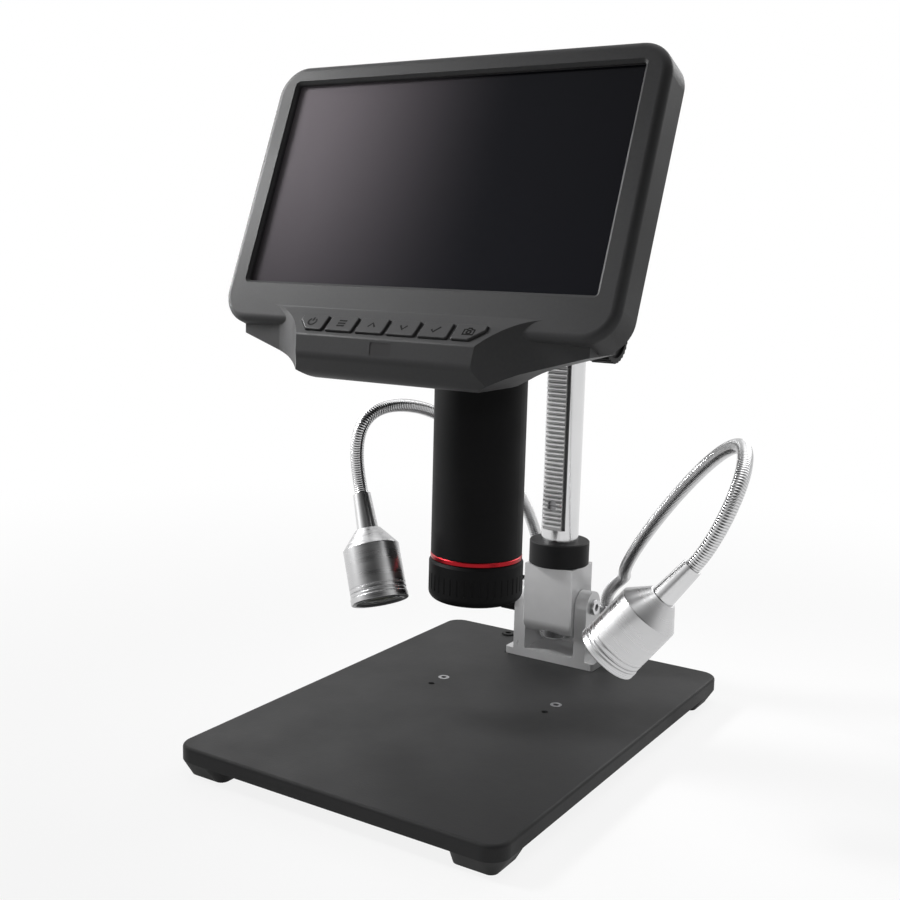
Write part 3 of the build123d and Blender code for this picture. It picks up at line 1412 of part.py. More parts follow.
def build_lamp(side, rim, aim, rise, bends, drop):
    """All pieces of one gooseneck lamp."""
    word = "left" if side < 0 else "right"
    back = tuple(-c for c in unit(aim))
    head_plane = Plane(origin=rim, z_dir=back)
    profile_plane = Plane(origin=rim, x_dir=head_plane.x_dir, z_dir=head_plane.y_dir * -1)
    head_axis = Axis(rim, back)
    root = (side * lamp_root_x, lamp_root_y, cross_h)
    groove_z = lamp_lip + lamp_groove_z
    spigot_r = sleeve_r0 - sleeve_spigot_step
    bore = lamp_r - lamp_wall
    cover_r = bore - lamp_spigot_t
    seat_z = lamp_lip - lamp_seat_step

    with BuildPart() as head:
        with BuildSketch(profile_plane):
            with BuildLine():
                Polyline(
                    (lamp_r, lamp_lip),
                    (lamp_r, groove_z),
                    (lamp_r - lamp_groove_depth, groove_z),
                    (lamp_r - lamp_groove_depth, groove_z + lamp_groove_w),
                    (lamp_r, groove_z + lamp_groove_w),
                    (lamp_r, lamp_body),
                    (lamp_neck_r, lamp_neck),
                    (spigot_r, lamp_neck),
                    (spigot_r, lamp_neck - sleeve_spigot),
                    (lamp_r - 3 * lamp_wall, lamp_body - lamp_floor_z),
                    (lamp_r - lamp_wall, lamp_body - lamp_cone_z),
                    (lamp_r - lamp_wall, lamp_lip),
                    close=True,
                )
            make_face()
        revolve(axis=head_axis)
    save(head, "lamp_head_" + word)

    with BuildPart() as bezel:
        with BuildSketch(profile_plane):
            with BuildLine():
                Polyline(
                    (lamp_lip_r - lamp_lip_in, 0),
                    (lamp_lip_r - lamp_lip_edge, 0),
                    (lamp_lip_r, lamp_lip_edge),
                    (lamp_lip_r, lamp_lip - (lamp_lip_r - lamp_r)),
                    (lamp_r, lamp_lip),
                    (bore, lamp_lip),
                    (bore, lamp_lip + lamp_spigot),
                    (cover_r, lamp_lip + lamp_spigot),
                    (cover_r, seat_z),
                    (lamp_lip_r - lamp_lip_slope, seat_z - lamp_seat_fall),
                    close=True,
                )
            make_face()
        revolve(axis=head_axis)
    save(bezel, "lamp_bezel_" + word)

    with BuildPart() as lens:
        with BuildSketch(head_plane.offset(seat_z)):
            Circle(cover_r)
        extrude(amount=lamp_seat_step)
        with BuildSketch(head_plane.offset(lamp_lip)):
            Circle(cover_r - lens_rim)
        extrude(amount=lens_cone_h, taper=lens_cone_taper)
    save(lens, "lamp_lens_" + word)

    with BuildPart() as led_board:
        with BuildSketch(head_plane.offset(lamp_lip + led_board_z)):
            Circle(bore)
        extrude(amount=led_board_t)
        with BuildSketch(head_plane.offset(lamp_lip + led_board_z)):
            Circle(led_r)
        extrude(amount=-led_h)
        fillet(led_board.faces().sort_by(head_axis)[0].edges(), led_round)
    save(led_board, "lamp_board_" + word)

    with BuildPart() as sleeve:
        with BuildSketch(profile_plane):
            with BuildLine():
                Polyline(
                    (0, lamp_neck - sleeve_spigot),
                    (spigot_r, lamp_neck - sleeve_spigot),
                    (spigot_r, lamp_neck),
                    (sleeve_r0, lamp_neck),
                    (sleeve_r1, sleeve_top),
                    (goose_r, sleeve_top),
                    (goose_r, sleeve_top - sleeve_bore),
                    (0, sleeve_top - sleeve_bore),
                    close=True,
                )
            make_face()
        revolve(axis=head_axis)
    save(sleeve, "lamp_sleeve_" + word)

    with BuildPart() as foot:
        with BuildSketch(Plane.XY.offset(cross_h + seat_gap)):
            with Locations((root[0], root[1])):
                Circle(root_r)
        extrude(amount=root_h)
        chamfer(foot.faces().sort_by(Axis.Z)[-1].edges(), root_edge)
        with BuildSketch(Plane.XY.offset(cross_h + seat_gap)):
            with Locations((root[0], root[1])):
                Circle(root_spigot_r)
        extrude(amount=-root_spigot)
        with BuildSketch(Plane.XY.offset(cross_h + seat_gap + root_h)):
            with Locations((root[0], root[1])):
                Circle(goose_r)
        extrude(amount=-root_h / 2, mode=Mode.SUBTRACT)
    save(foot, "lamp_root_" + word)

    goose_end = Vector(*rim) + Vector(*back) * (sleeve_top - sleeve_bore)
    goose_start = (root[0], root[1], cross_h + seat_gap + root_h / 2)
    route = neck_route(goose_start, rise, bends, tuple(goose_end), back, drop)
    with BuildPart() as gooseneck:
        with BuildLine():
            add(route)
        with BuildSketch(Plane(origin=route @ 0, z_dir=route % 0)):
            Circle(goose_r)
        sweep()
    save(gooseneck, "gooseneck_" + word)


build_lamp(-1, lamp_left_rim, lamp_left_aim, lamp_left_rise, lamp_left_bends, lamp_left_drop)
build_lamp(1, lamp_right_rim, lamp_right_aim, lamp_right_rise, lamp_right_bends, lamp_right_drop)
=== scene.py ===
"""Looks of an LCD digital microscope on a rack stand, laid out as an add-on.

Each operator dresses one group of pieces. Metres, +Z up, the same frame as the CAD model.
"""

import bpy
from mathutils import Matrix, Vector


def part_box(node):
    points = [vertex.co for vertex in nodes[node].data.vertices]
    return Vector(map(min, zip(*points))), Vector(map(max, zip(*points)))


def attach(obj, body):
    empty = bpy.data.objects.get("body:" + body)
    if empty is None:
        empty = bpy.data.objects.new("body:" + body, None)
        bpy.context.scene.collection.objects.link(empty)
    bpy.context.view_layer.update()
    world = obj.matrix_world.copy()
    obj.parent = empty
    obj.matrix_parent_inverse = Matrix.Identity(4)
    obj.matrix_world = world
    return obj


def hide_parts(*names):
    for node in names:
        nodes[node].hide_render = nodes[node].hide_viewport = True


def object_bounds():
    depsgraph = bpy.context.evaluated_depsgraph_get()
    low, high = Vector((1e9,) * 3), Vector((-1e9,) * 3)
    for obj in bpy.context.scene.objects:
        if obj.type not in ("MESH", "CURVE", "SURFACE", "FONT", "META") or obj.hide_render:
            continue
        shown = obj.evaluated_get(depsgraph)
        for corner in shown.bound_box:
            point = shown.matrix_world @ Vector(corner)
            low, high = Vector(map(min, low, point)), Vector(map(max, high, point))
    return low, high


bl_info = {
    "name": "LCD Digital Microscope",
    "version": (1, 0, 0),
    "blender": (4, 5, 0),
    "location": "View3D > Sidebar > Microscope",
    "description": "Visible surfaces and finishes of a desk microscope with a built-in screen",
    "category": "Object",
}

import math

import bpy
import numpy as np
from bpy.props import FloatProperty, FloatVectorProperty, PointerProperty
from bpy.types import Operator, Panel, PropertyGroup
from mathutils import Matrix, Vector

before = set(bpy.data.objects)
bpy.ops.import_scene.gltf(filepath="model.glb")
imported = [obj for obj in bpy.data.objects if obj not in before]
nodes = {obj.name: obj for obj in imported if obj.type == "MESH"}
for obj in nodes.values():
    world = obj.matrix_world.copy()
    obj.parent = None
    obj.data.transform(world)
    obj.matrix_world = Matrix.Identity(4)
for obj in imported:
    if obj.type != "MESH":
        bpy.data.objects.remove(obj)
cad_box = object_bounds()

MM = 0.001
ACROSS = np.array([1.0, 0.0, 0.0])

# the screen: how far it leans back; where the painted reflection (a lamp's glare painted into
# the panel's colour) begins and ends across, and how strong it is at the foot and at the head
LEAN = math.radians(21.5)
PAINTED_REFLECTION_FROM, PAINTED_REFLECTION_TO = -85.0 * MM, 30.0 * MM
PAINTED_REFLECTION_AT_FOOT, PAINTED_REFLECTION_AT_HEAD = 0.38, 1.05

# the key shelf: its middle, its slope as a run and a rise, its way up the slope and its normal
SHELF_MID = np.array([0.0, -67.1, 168.7]) * MM
SHELF_RUN, SHELF_RISE = 11.2, 9.4
SHELF_UP = np.array([0.0, SHELF_RUN, SHELF_RISE]) / math.hypot(SHELF_RUN, SHELF_RISE)
SHELF_NORMAL = np.array([0.0, -SHELF_UP[2], SHELF_UP[1]])

# the keys: from one to the next, the row's place on the shelf, and how far a cap stands proud
KEY_PITCH = 14.1 * MM
KEY_ROW = -1.2 * MM
KEY_PROUD = 1.0 * MM
KEY_NAMES = ("key_power", "key_menu", "key_up", "key_down", "key_ok", "key_shot")

# the rack: its tooth tips and the bottoms of its gaps, behind its front face; the finish paints
# shade into the gaps between them
RACK_TIPS, RACK_ROOTS = 0.3 * MM, 2.2 * MM

# lamps in millimetres: rim centre and aim; each bend of a gooseneck is its point, its direction
# and how far the curve holds that direction before and after; rise and drop are the same for
# the two ends
LAMPS = {
    "left": {
        "rim": (-31.0, -27.0, 48.0),
        "aim": (0.394, -0.237, -0.889),
        "root": (-18.0, 96.75, 22.3),
        "rise": 53.0,
        "bends": [((-44.3, 15.0, 127.1), (-0.1965, -0.9636, 0.1813), 34.4, 43.1)],
        "drop": 14.0,
    },
    "right": {
        "rim": (77.0, -31.0, 48.0),
        "aim": (-0.61, -0.14, -0.78),
        "root": (18.0, 96.75, 22.3),
        "rise": 9.2,
        "bends": [
            ((30.5, 88.8, 45.3), (0.2525, -0.8286, 0.4996), 8.7, 30.2),
            ((117.5, -7.6, 121.3), (0.2175, -0.8636, -0.4548), 55.0, 16.4),
        ],
        "drop": 11.0,
    },
}

# a gooseneck in millimetres: the bores that take its ends, the straight stub at each end, its
# radius; then the number of rings for each rib and the power that keeps its ribs broad
ROOT_BORE = 4.0
SLEEVE_TOP = 48.0
SLEEVE_BORE = 12.0
NECK_STUB = 0.8
NECK_RADIUS = 3.0
RINGS_PER_RIB = 6
RIB_POWER = 1.6

# the turned pieces of a lamp in millimetres: name, the node that it replaces, how far its
# corners are rounded, and its outline as (radius, height above the rim's edge)
LAMP_TURNINGS = (
    ("head", "lamp_head_", 0.25, (
        (10.6, 3.0), (12.2, 3.0), (12.2, 4.2), (11.7, 4.2), (11.7, 4.8), (12.2, 4.8),
        (12.2, 6.4), (11.95, 6.4), (11.95, 6.8), (12.2, 6.8), (12.2, 24.0), (5.6, 32.0),
        (3.1, 32.0), (3.1, 29.0), (7.4, 22.5), (10.6, 20.0), (10.6, 3.0),
    )),
    ("rim", "lamp_bezel_", 0.12, (
        (10.5, 0.0), (12.1, 0.0), (12.5, 0.4), (12.5, 2.7), (12.2, 3.0), (10.6, 3.0),
        (10.6, 6.0), (9.4, 6.0), (9.4, 1.6), (9.1, 1.1), (10.5, 0.0),
    )),
)

# colours that are not in the panel
ZINC = (0.66, 0.66, 0.67)
BRASS = (0.66, 0.47, 0.18)
RACK_STEEL = (0.82, 0.82, 0.82)
SHAFT_STEEL = (0.62, 0.62, 0.63)
SCREW_STEEL = (0.6, 0.6, 0.61)
FLANGE_STEEL = (0.6, 0.6, 0.6)
RACK_SCREW_STEEL = (0.4, 0.4, 0.41)
SHELL_SCREW_STEEL = (0.35, 0.35, 0.36)
INSERT_STEEL = (0.34, 0.34, 0.35)
NOSE_BLACK = (0.006, 0.006, 0.006)
WINDOW_BLACK = (0.030, 0.029, 0.030)
TRAY_GREY = (0.5, 0.5, 0.5)
LENS_TINT = (0.93, 0.96, 0.98)
LAMP_LENS_TINT = (0.9, 0.93, 0.95)
MASK_GREEN = (0.01, 0.09, 0.04)
DIODE_YELLOW = (0.55, 0.5, 0.2)

# floor: half its side, its colour, and the share of plain background in it near the object
FLOOR_HALF = 6.0
FLOOR_COLOUR = (0.86, 0.86, 0.86)
FLOOR_SHARE = 0.86

# surroundings: strength as soft light; strength in reflections away from the dark side and in
# its middle; the way to that middle, and the cosines at which the darkening starts and is full
SKY_LIGHT = 0.11
MIRRORED_BRIGHT, MIRRORED_DARK = 0.82, 0.05
DARK_WAY = (0.40, -0.85, 0.25)
DARK_START, DARK_FULL = 0.4, 0.97

# studio lamps: name, place, aim, side of a box or radius of a spot, power in watts, a spot's
# cone in degrees (none for a box), and whether reflections show it
STUDIO_LAMPS = (
    ("key_spot", (-0.62, -0.22, 0.60), (-0.12, -0.05, 0.232), 0.1, 39.0, 28.0, True),
    ("rim_spot", (-0.70, -0.10, 0.30), (-0.09, -0.05, 0.215), 0.08, 20.0, 20.0, True),
    ("stand_spot", (0.45, -0.75, 0.35), (0.0, 0.06, 0.03), 0.08, 14.0, 14.0, False),
    ("left_box", (-0.60, -0.35, 0.25), (0.0, 0.0, 0.05), 0.4, 0.35, None, True),
    ("edge_box", (-0.45, 0.25, 0.40), (0.0, 0.0, 0.20), 0.3, 0.8, None, True),
    ("top_box", (0.05, 0.15, 1.15), (0.0, 0.0, 0.10), 0.8, 3.0, None, True),
    ("back_box", (0.25, 1.05, 0.75), (0.0, 0.0, 0.12), 0.6, 5.0, None, True),
)

# camera: its place, its way ahead and to its right, focal length and sensor width in
# millimetres, nearest and furthest distance
VIEW_PLACE = (0.2567, -0.4300, 0.1961)
VIEW_AHEAD = (-0.5266, 0.8343, -0.1628)
VIEW_RIGHT = (0.8431, 0.5371, 0.0250)
VIEW_LENS, VIEW_SENSOR = 47.9, 36.0
VIEW_NEAR, VIEW_FAR = 0.01, 50.0


# ---------------------------------------------------------------- settings


def tint(name, text, value):
    """A colour that a user may change."""
    return FloatVectorProperty(
        name=name, description=text, subtype="COLOR", size=3, min=0, max=1, default=value
    )


def length(name, text, value):
    """A length that a user may change."""
    return FloatProperty(
        name=name, description=text, default=value, min=0.0, unit="LENGTH", precision=5
    )


class MicroscopeColours(PropertyGroup):
    """Colours of the finishes."""

    housing: tint("Housing", "Moulded plastic of the screen housing", (0.045, 0.045, 0.046))
    key_cap: tint("Key cap", "Plastic of the six keys", (0.048, 0.048, 0.049))
    glyph: tint("Key sign", "Inlaid signs on the keys", (0.004, 0.004, 0.004))
    base_coat: tint("Base coat", "Powder coat of the base", (0.024, 0.024, 0.0245))
    barrel: tint("Barrel", "Anodised barrel", (0.0062, 0.0062, 0.0065))
    band: tint("Band", "Anodised band above the focusing ring", (0.34, 0.008, 0.014))
    knob: tint("Knob", "Moulded knobs and the column collar", (0.011, 0.011, 0.0115))
    carriage: tint("Carriage", "Black anodised carriage and holder", (0.013, 0.013, 0.014))
    aluminium: tint("Aluminium", "Bracket and lamp heads", (0.58, 0.58, 0.585))
    chrome: tint("Chrome", "Column and goosenecks", (0.68, 0.68, 0.685))
    screen: tint("Screen", "Unlit panel away from the light", (0.0065, 0.0068, 0.0095))
    # painted reflection: a pale colour painted on the panel's upper left, standing in for a lamp's
    # glare on the glass
    screen_painted_reflection: tint("Screen bloom", "Veil of light on the left side", (0.160, 0.141, 0.156))
    rubber: tint("Rubber", "Feet and grommet", (0.012, 0.012, 0.012))


class MicroscopeSizes(PropertyGroup):
    """Sizes of the details that the solids leave out."""

    rib_pitch: length("Rib pitch", "From rib to rib on a gooseneck", 1.05 * MM)
    rib_depth: length("Rib depth", "Depth of the groove between two ribs", 0.22 * MM)
    sign_height: length("Sign height", "Height of a sign on a key", 4.2 * MM)
    sign_stroke: length("Sign stroke", "Width of a sign's line", 0.8 * MM)
    sign_rise: length("Sign rise", "How far a sign stands out of its key", 0.03 * MM)
    floor_clear: length("Floor fade start", "Radius inside which it takes shadows", 0.20)
    floor_fade: length("Floor fade end", "Radius at which it is plain background", 0.62)


# ---------------------------------------------------------------- meshes


def grid_mesh(name, rings, path_closed=False, capped=False):
    """Mesh of a grid of points, shape (rings, points, 3).

    Neighbours in both directions span a face. UV u runs along the rings and v round them. A cap
    is a fan from the end ring's mean point.
    """
    count, around = rings.shape[:2]
    points = [rings.reshape(-1, 3)]
    row = np.arange(count if path_closed else count - 1)
    i, j = (index.ravel() for index in np.meshgrid(row, np.arange(around), indexing="ij"))
    corners = ((0, 0), (1, 0), (1, 1), (0, 1))
    quads = np.stack([(i + di) % count * around + (j + dj) % around for di, dj in corners], 1)
    uv = np.stack([np.stack([(i + di) / count, (j + dj) / around], 1) for di, dj in corners], 1)
    faces = quads.tolist()
    uv_blocks = [uv.reshape(-1, 2)]
    for ring, flip in ((0, False), (count - 1, True)) if capped else ():
        centre = np.full(around, sum(len(block) for block in points))
        points.append(rings[ring].mean(0, keepdims=True))
        here = ring * around + np.arange(around)
        following = np.roll(here, -1)
        fan = [centre, following, here] if flip else [centre, here, following]
        faces += np.stack(fan, 1).tolist()
        uv_blocks.append(np.full((around * 3, 2), ring / count))
    mesh = bpy.data.meshes.new(name)
    mesh.from_pydata(np.concatenate(points).tolist(), [], faces)
    layer = mesh.uv_layers.new(name="UVMap")
    layer.data.foreach_set("uv", np.concatenate(uv_blocks).astype(np.float32).ravel())
    mesh.validate()
    return mesh


def joined_mesh(name, parts):
    """One mesh of several grids, given as (rings, closed); open grids get caps at both ends."""
    points, faces, shift = [], [], 0
    for rings, closed in parts:
        one = grid_mesh(name + "_part", rings, path_closed=closed, capped=not closed)
        count = len(one.vertices)
        co = np.empty(count * 3, np.float32)
        one.vertices.foreach_get("co", co)
        points.append(co.reshape(-1, 3))
        faces += [[i + shift for i in face.vertices] for face in one.polygons]
        shift += count
        bpy.data.meshes.remove(one)
    mesh = bpy.data.meshes.new(name)
    mesh.from_pydata(np.concatenate(points).tolist(), [], faces)
    mesh.validate()
    return mesh


def add_piece(name, mesh, material, body, replaces=(), sharp_degrees=35.0):
    """Puts a finished mesh into the scene, riding on a body."""
    mesh.materials.append(material)
    mesh.shade_smooth()
    mesh.set_sharp_from_angle(angle=math.radians(sharp_degrees))
    piece = bpy.data.objects.new(name, mesh)
    bpy.context.scene.collection.objects.link(piece)
    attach(piece, body)
    if replaces:
        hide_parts(*replaces)
    return piece


def unit(v):
    """The vector over its own length."""
    v = np.asarray(v, float)
    return v / np.linalg.norm(v)


def frame_about(direction):
    """Two unit vectors square to a direction and to each other."""
    w = unit(direction)
    helper = np.array([0.0, 0.0, 1.0]) if abs(w[2]) < 0.9 else ACROSS
    u = unit(np.cross(helper, w))
    return u, np.cross(w, u)


def turned(name, origin, direction, profile, around=96):
    """Surface of revolution: each profile point (radius, height) is carried round the axis.

    point = origin + height * axis + radius * (u * cos(turn) + v * sin(turn)).
    """
    u, v = frame_about(direction)
    turn = np.linspace(0, 2 * math.pi, around, endpoint=False)
    circle = np.cos(turn)[:, None] * u + np.sin(turn)[:, None] * v
    radius, height = profile[:, 0, None, None], profile[:, 1, None, None]
    return grid_mesh(name, origin + height * unit(direction) + radius * circle[None])


def rounded_profile(corners, bevel, steps=4, parts=2.2):
    """Profile of straight runs whose corners are replaced by short quadratic curves.

    A curve starts and ends the bevel's length from its corner, but no further than the shorter
    run's length over parts. Its points are (1-t)^2 start + 2t(1-t) corner + t^2 end for t from
    0 to 1.
    """
    out = [corners[:1]]
    t = np.linspace(0, 1, steps + 1)[:, None]
    for before, here, after in zip(corners, corners[1:], corners[2:]):
        runs = [(side - here, np.linalg.norm(side - here)) for side in (before, after)]
        near = min(bevel, *(size / parts for _, size in runs))
        start, end = (here + way / size * near for way, size in runs)
        out.append((1 - t) ** 2 * start + 2 * t * (1 - t) * here + t**2 * end)
    out.append(corners[-1:])
    return np.concatenate(out)


def bezier(a, b, c, d, count=160):
    """Points (1-t)^3 a + 3(1-t)^2 t b + 3(1-t) t^2 c + t^3 d for t from 0 to 1."""
    t = np.linspace(0, 1, count)[:, None]
    return (1 - t) ** 3 * a + 3 * (1 - t) ** 2 * t * b + 3 * (1 - t) * t**2 * c + t**3 * d


def even_path(path, step):
    """The same line with its points an equal distance apart, and the length at each of them."""
    lengths = np.concatenate([[0], np.cumsum(np.linalg.norm(np.diff(path, axis=0), axis=1))])
    count = int(lengths[-1] / step) + 1
    where = np.linspace(0, lengths[-1], count)
    return np.stack([np.interp(where, lengths, path[:, k]) for k in range(3)], 1), where


def ribbed_tube(name, path, where, radius, depth, pitch, around=20):
    """Tube carried along a path, with rounded ribs.

    At length s its radius is radius - depth * (1 - |sin(pi * s / pitch)|) ** RIB_POWER, and the
    attribute "groove" holds that power: 0 on a rib, 1 down between two.
    """
    tangent = np.gradient(path, axis=0)
    tangent /= np.linalg.norm(tangent, axis=1, keepdims=True)
    u = np.cross(tangent, ACROSS)
    u /= np.linalg.norm(u, axis=1, keepdims=True)
    v = np.cross(tangent, u)
    groove = (1 - np.abs(np.sin(math.pi * where / pitch))) ** RIB_POWER
    r = radius - depth * groove
    turn = np.linspace(0, 2 * math.pi, around, endpoint=False)
    circle = np.cos(turn)[None, :, None] * u[:, None] + np.sin(turn)[None, :, None] * v[:, None]
    mesh = grid_mesh(name, path[:, None] + r[:, None, None] * circle, capped=True)
    shade = mesh.attributes.new("groove", "FLOAT", "POINT")
    values = np.zeros(len(mesh.vertices), np.float32)
    values[: len(path) * around] = np.repeat(groove, around)
    shade.data.foreach_set("value", values)
    return mesh


def lamp_route(lamp):
    """Centre line of a gooseneck in metres.

    Straight ends, and between them a Bezier curve from bend to bend that keeps each bend's
    direction.
    """
    back = -unit(lamp["aim"])
    root, rim = np.array(lamp["root"]), np.array(lamp["rim"])
    low = root + np.array([0, 0, ROOT_BORE + NECK_STUB])
    high = rim + back * (SLEEVE_TOP + NECK_STUB)
    blocks = [root[None]]
    here, held = low, low + np.array([0, 0, lamp["rise"]])
    for point, way, before, after in lamp["bends"]:
        there, along = np.array(point), unit(way)
        blocks.append(bezier(here, held, there - along * before, there)[:-1])
        here, held = there, there + along * after
    blocks.append(bezier(here, held, high + back * lamp["drop"], high))
    blocks.append((rim + back * (SLEEVE_TOP - SLEEVE_BORE))[None])
    return np.concatenate(blocks) * MM


# ---------------------------------------------------------------- key signs


def arc(radius, start, end, count=24, centre=(0.0, 0.0)):
    """Points centre + radius * (cos t, sin t) in the key plane, t from start to end degrees."""
    t = np.radians(np.linspace(start, end, count))
    return np.stack([centre[0] + radius * np.cos(t), centre[1] + radius * np.sin(t)], 1)


def line(*points):
    """Straight runs through points of the key plane."""
    return np.array(points, float)


def key_signs():
    """Strokes of each generic sign, one unit high, as (points, closed)."""
    camera_body = line(
        (-0.5, -0.36), (0.5, -0.36), (0.5, 0.24), (0.22, 0.24),
        (0.14, 0.40), (-0.14, 0.40), (-0.22, 0.24), (-0.5, 0.24),
    )
    return {
        "key_power": [(arc(0.42, 128, 412), False), (line((0, 0.08), (0, 0.52)), False)],
        "key_menu": [(line((-0.42, h), (0.42, h)), False) for h in (-0.32, 0.0, 0.32)],
        "key_up": [(line((-0.36, -0.22), (0.0, 0.28), (0.36, -0.22)), False)],
        "key_down": [(line((-0.36, 0.22), (0.0, -0.28), (0.36, 0.22)), False)],
        "key_ok": [(line((-0.40, 0.0), (-0.12, -0.32), (0.42, 0.34)), False)],
        "key_shot": [(camera_body, True), (arc(0.19, 0, 345, 23, (0.0, -0.07)), True)],
    }


def stroke_slab(points, width, rise, closed):
    """A flat line on the key plane, shape (points, 4, 3).

    Each point gives four corners: half a width to each side, a rise below and above the plane.
    """
    along = np.roll(points, -1, 0) - np.roll(points, 1, 0)
    if not closed:
        along[0] = points[1] - points[0]
        along[-1] = points[-1] - points[-2]
    along /= np.linalg.norm(along, axis=1, keepdims=True)
    side = np.stack([-along[:, 1], along[:, 0]], 1) * width / 2
    left, right = points + side, points - side
    corners = np.zeros((len(points), 4, 3))
    for place, (edge, height) in enumerate(
        ((right, -rise), (left, -rise), (left, rise), (right, rise))
    ):
        corners[:, place, :2], corners[:, place, 2] = edge, height
    return corners


def on_key_cap(slab, middle):
    """Puts a slab on the cap of the key whose middle is that far across the shelf.

    point = shelf middle + normal * (proud + height) + across * (middle + x) + up * (row + y).
    """
    x, y, height = np.moveaxis(slab, -1, 0)[..., None]
    return (
        SHELF_MID
        + SHELF_NORMAL * (KEY_PROUD + height)
        + ACROSS * (middle + x)
        + SHELF_UP * (KEY_ROW + y)
    )


# ---------------------------------------------------------------- finishes


def toned(colour, share):
    """A colour times a number, kept within white."""
    return [min(1.0, c * share) for c in colour]


class NodeWork:
    """A node tree, emptied, and short ways to fill it."""

    def __init__(self, tree):
        self.tree = tree
        tree.nodes.clear()

    def node(self, kind, **settings):
        """A new node with its settings."""
        made = self.tree.nodes.new(kind)
        for key, value in settings.items():
            setattr(made, key, value)
        return made

    def link(self, source, target):
        """Joins an output to an input."""
        self.tree.links.new(source, target)

    def worked_out(self, operation, first, second):
        """One number from two."""
        made = self.node("ShaderNodeMath", operation=operation)
        self.link(first, made.inputs[0])
        self.link(second, made.inputs[1])
        return made.outputs[0]

    def span(self, source, low, high, to_low, to_high, smooth=False):
        """A value mapped from one span to another."""
        made = self.node("ShaderNodeMapRange")
        made.interpolation_type = "SMOOTHSTEP" if smooth else "LINEAR"
        ends = {"From Min": low, "From Max": high, "To Min": to_low, "To Max": to_high}
        for key, value in ends.items():
            made.inputs[key].default_value = value
        self.link(source, made.inputs["Value"])
        return made.outputs["Result"]

    def blend(self, factor, first, second, kind="RGBA"):
        """A colour between two colours, or a FLOAT between two, each a value or a socket."""
        made = self.node("ShaderNodeMix", data_type=kind)
        places, result = {"FLOAT": ((2, 3), 0), "RGBA": ((6, 7), 2)}[kind]
        self.link(factor, made.inputs[0])
        for value, place in zip((first, second), places):
            if isinstance(value, bpy.types.NodeSocket):
                self.link(value, made.inputs[place])
            else:
                made.inputs[place].default_value = value if kind == "FLOAT" else (*value, 1)
        return made.outputs[result]

    def rays(self, first, *others):
        """1 for the rays of these kinds, as Light Path names them, and 0 for all others."""
        path = self.node("ShaderNodeLightPath")
        found = path.outputs[first]
        for kind in others:
            found = self.worked_out("MAXIMUM", found, path.outputs[kind])
        return found


class Finish(NodeWork):
    """One material: a shader, and the few patterns that its finish is made of."""

    def __init__(self, name, colour, metallic=0.0, roughness=0.5, specular=0.5):
        self.material = bpy.data.materials.new(name)
        self.material.use_nodes = True
        super().__init__(self.material.node_tree)
        self.shader = self.node("ShaderNodeBsdfPrincipled")
        self.surface = self.node("ShaderNodeOutputMaterial").inputs["Surface"]
        self.link(self.shader.outputs["BSDF"], self.surface)
        self.set(Metallic=metallic, Roughness=roughness, Specular_IOR_Level=specular)
        self.set(Base_Color=(*colour, 1))
        self.material.diffuse_color = (*colour, 1)
        self.colour = tuple(colour)
        self.place = self.node("ShaderNodeTexCoord").outputs["Object"]
        self.relief = None

    def set(self, **values):
        """Numbers and colours on the shader's own sockets."""
        for key, value in values.items():
            self.shader.inputs[key.replace("_", " ")].default_value = value

    def paint(self, source):
        """The shader's colour from a socket."""
        self.link(source, self.shader.inputs["Base Color"])

    def mapped(self, scale=(1, 1, 1), turn=(0, 0, 0), source=None):
        """Coordinates stretched and turned."""
        mapping = self.node("ShaderNodeMapping")
        mapping.inputs["Scale"].default_value = scale
        mapping.inputs["Rotation"].default_value = turn
        self.link(source or self.place, mapping.inputs["Vector"])
        return mapping.outputs["Vector"]

    def axis(self, letter, source=None):
        """One of the three coordinates."""
        split = self.node("ShaderNodeSeparateXYZ")
        self.link(source or self.place, split.inputs["Vector"])
        return split.outputs[letter]

    def noise(self, scale, detail=3.0, rough=0.5, source=None):
        """Cloudy noise, so many features to the metre."""
        made = self.node("ShaderNodeTexNoise")
        made.inputs["Scale"].default_value = scale
        made.inputs["Detail"].default_value = detail
        made.inputs["Roughness"].default_value = rough
        self.link(source or self.place, made.inputs["Vector"])
        return made.outputs["Fac"]

    def cells(self, scale):
        """Distance from the middle of the nearest cell."""
        made = self.node("ShaderNodeTexVoronoi")
        made.inputs["Scale"].default_value = scale
        self.link(self.place, made.inputs["Vector"])
        return made.outputs["Distance"]

    def vary_colour(self, factor, darker, lighter):
        """The finish's own colour times a number from darker to lighter."""
        self.paint(self.blend(factor, toned(self.colour, darker), toned(self.colour, lighter)))

    def vary_roughness(self, source, low, high, between=(0.3, 0.7)):
        """Roughness from low to high while the source goes through its span."""
        self.link(self.span(source, *between, low, high), self.shader.inputs["Roughness"])

    def bump(self, source, height, strength=1.0):
        """Adds a relief on top of any that is there."""
        made = self.node("ShaderNodeBump")
        made.inputs["Distance"].default_value = height
        made.inputs["Strength"].default_value = strength
        self.link(source, made.inputs["Height"])
        if self.relief is not None:
            self.link(self.relief, made.inputs["Normal"])
        self.relief = made.outputs["Normal"]
        self.link(self.relief, self.shader.inputs["Normal"])


def moulded_plastic(name, colour, grain=1500.0, rough=0.46, relief=0.05 * MM, gloss=0.14):
    """Spark-eroded plastic: a fine grain, broad uneven gloss and a few lighter specks."""
    made = Finish(name, colour, roughness=rough, specular=gloss)
    made.bump(made.noise(grain, detail=2.0, rough=0.6), relief, 0.6)
    made.vary_roughness(made.noise(22.0), rough - 0.05, rough + 0.06)
    made.vary_colour(made.noise(grain * 0.5, detail=4.0, rough=0.7), 0.86, 1.12)
    return made.material


def dark_window(name, colour):
    """Smoky window of the console: smoother than the moulding round it, and unevenly so."""
    made = Finish(name, colour, roughness=0.34, specular=0.24)
    made.vary_roughness(made.noise(400.0, detail=2.0), 0.3, 0.4)
    return made.material


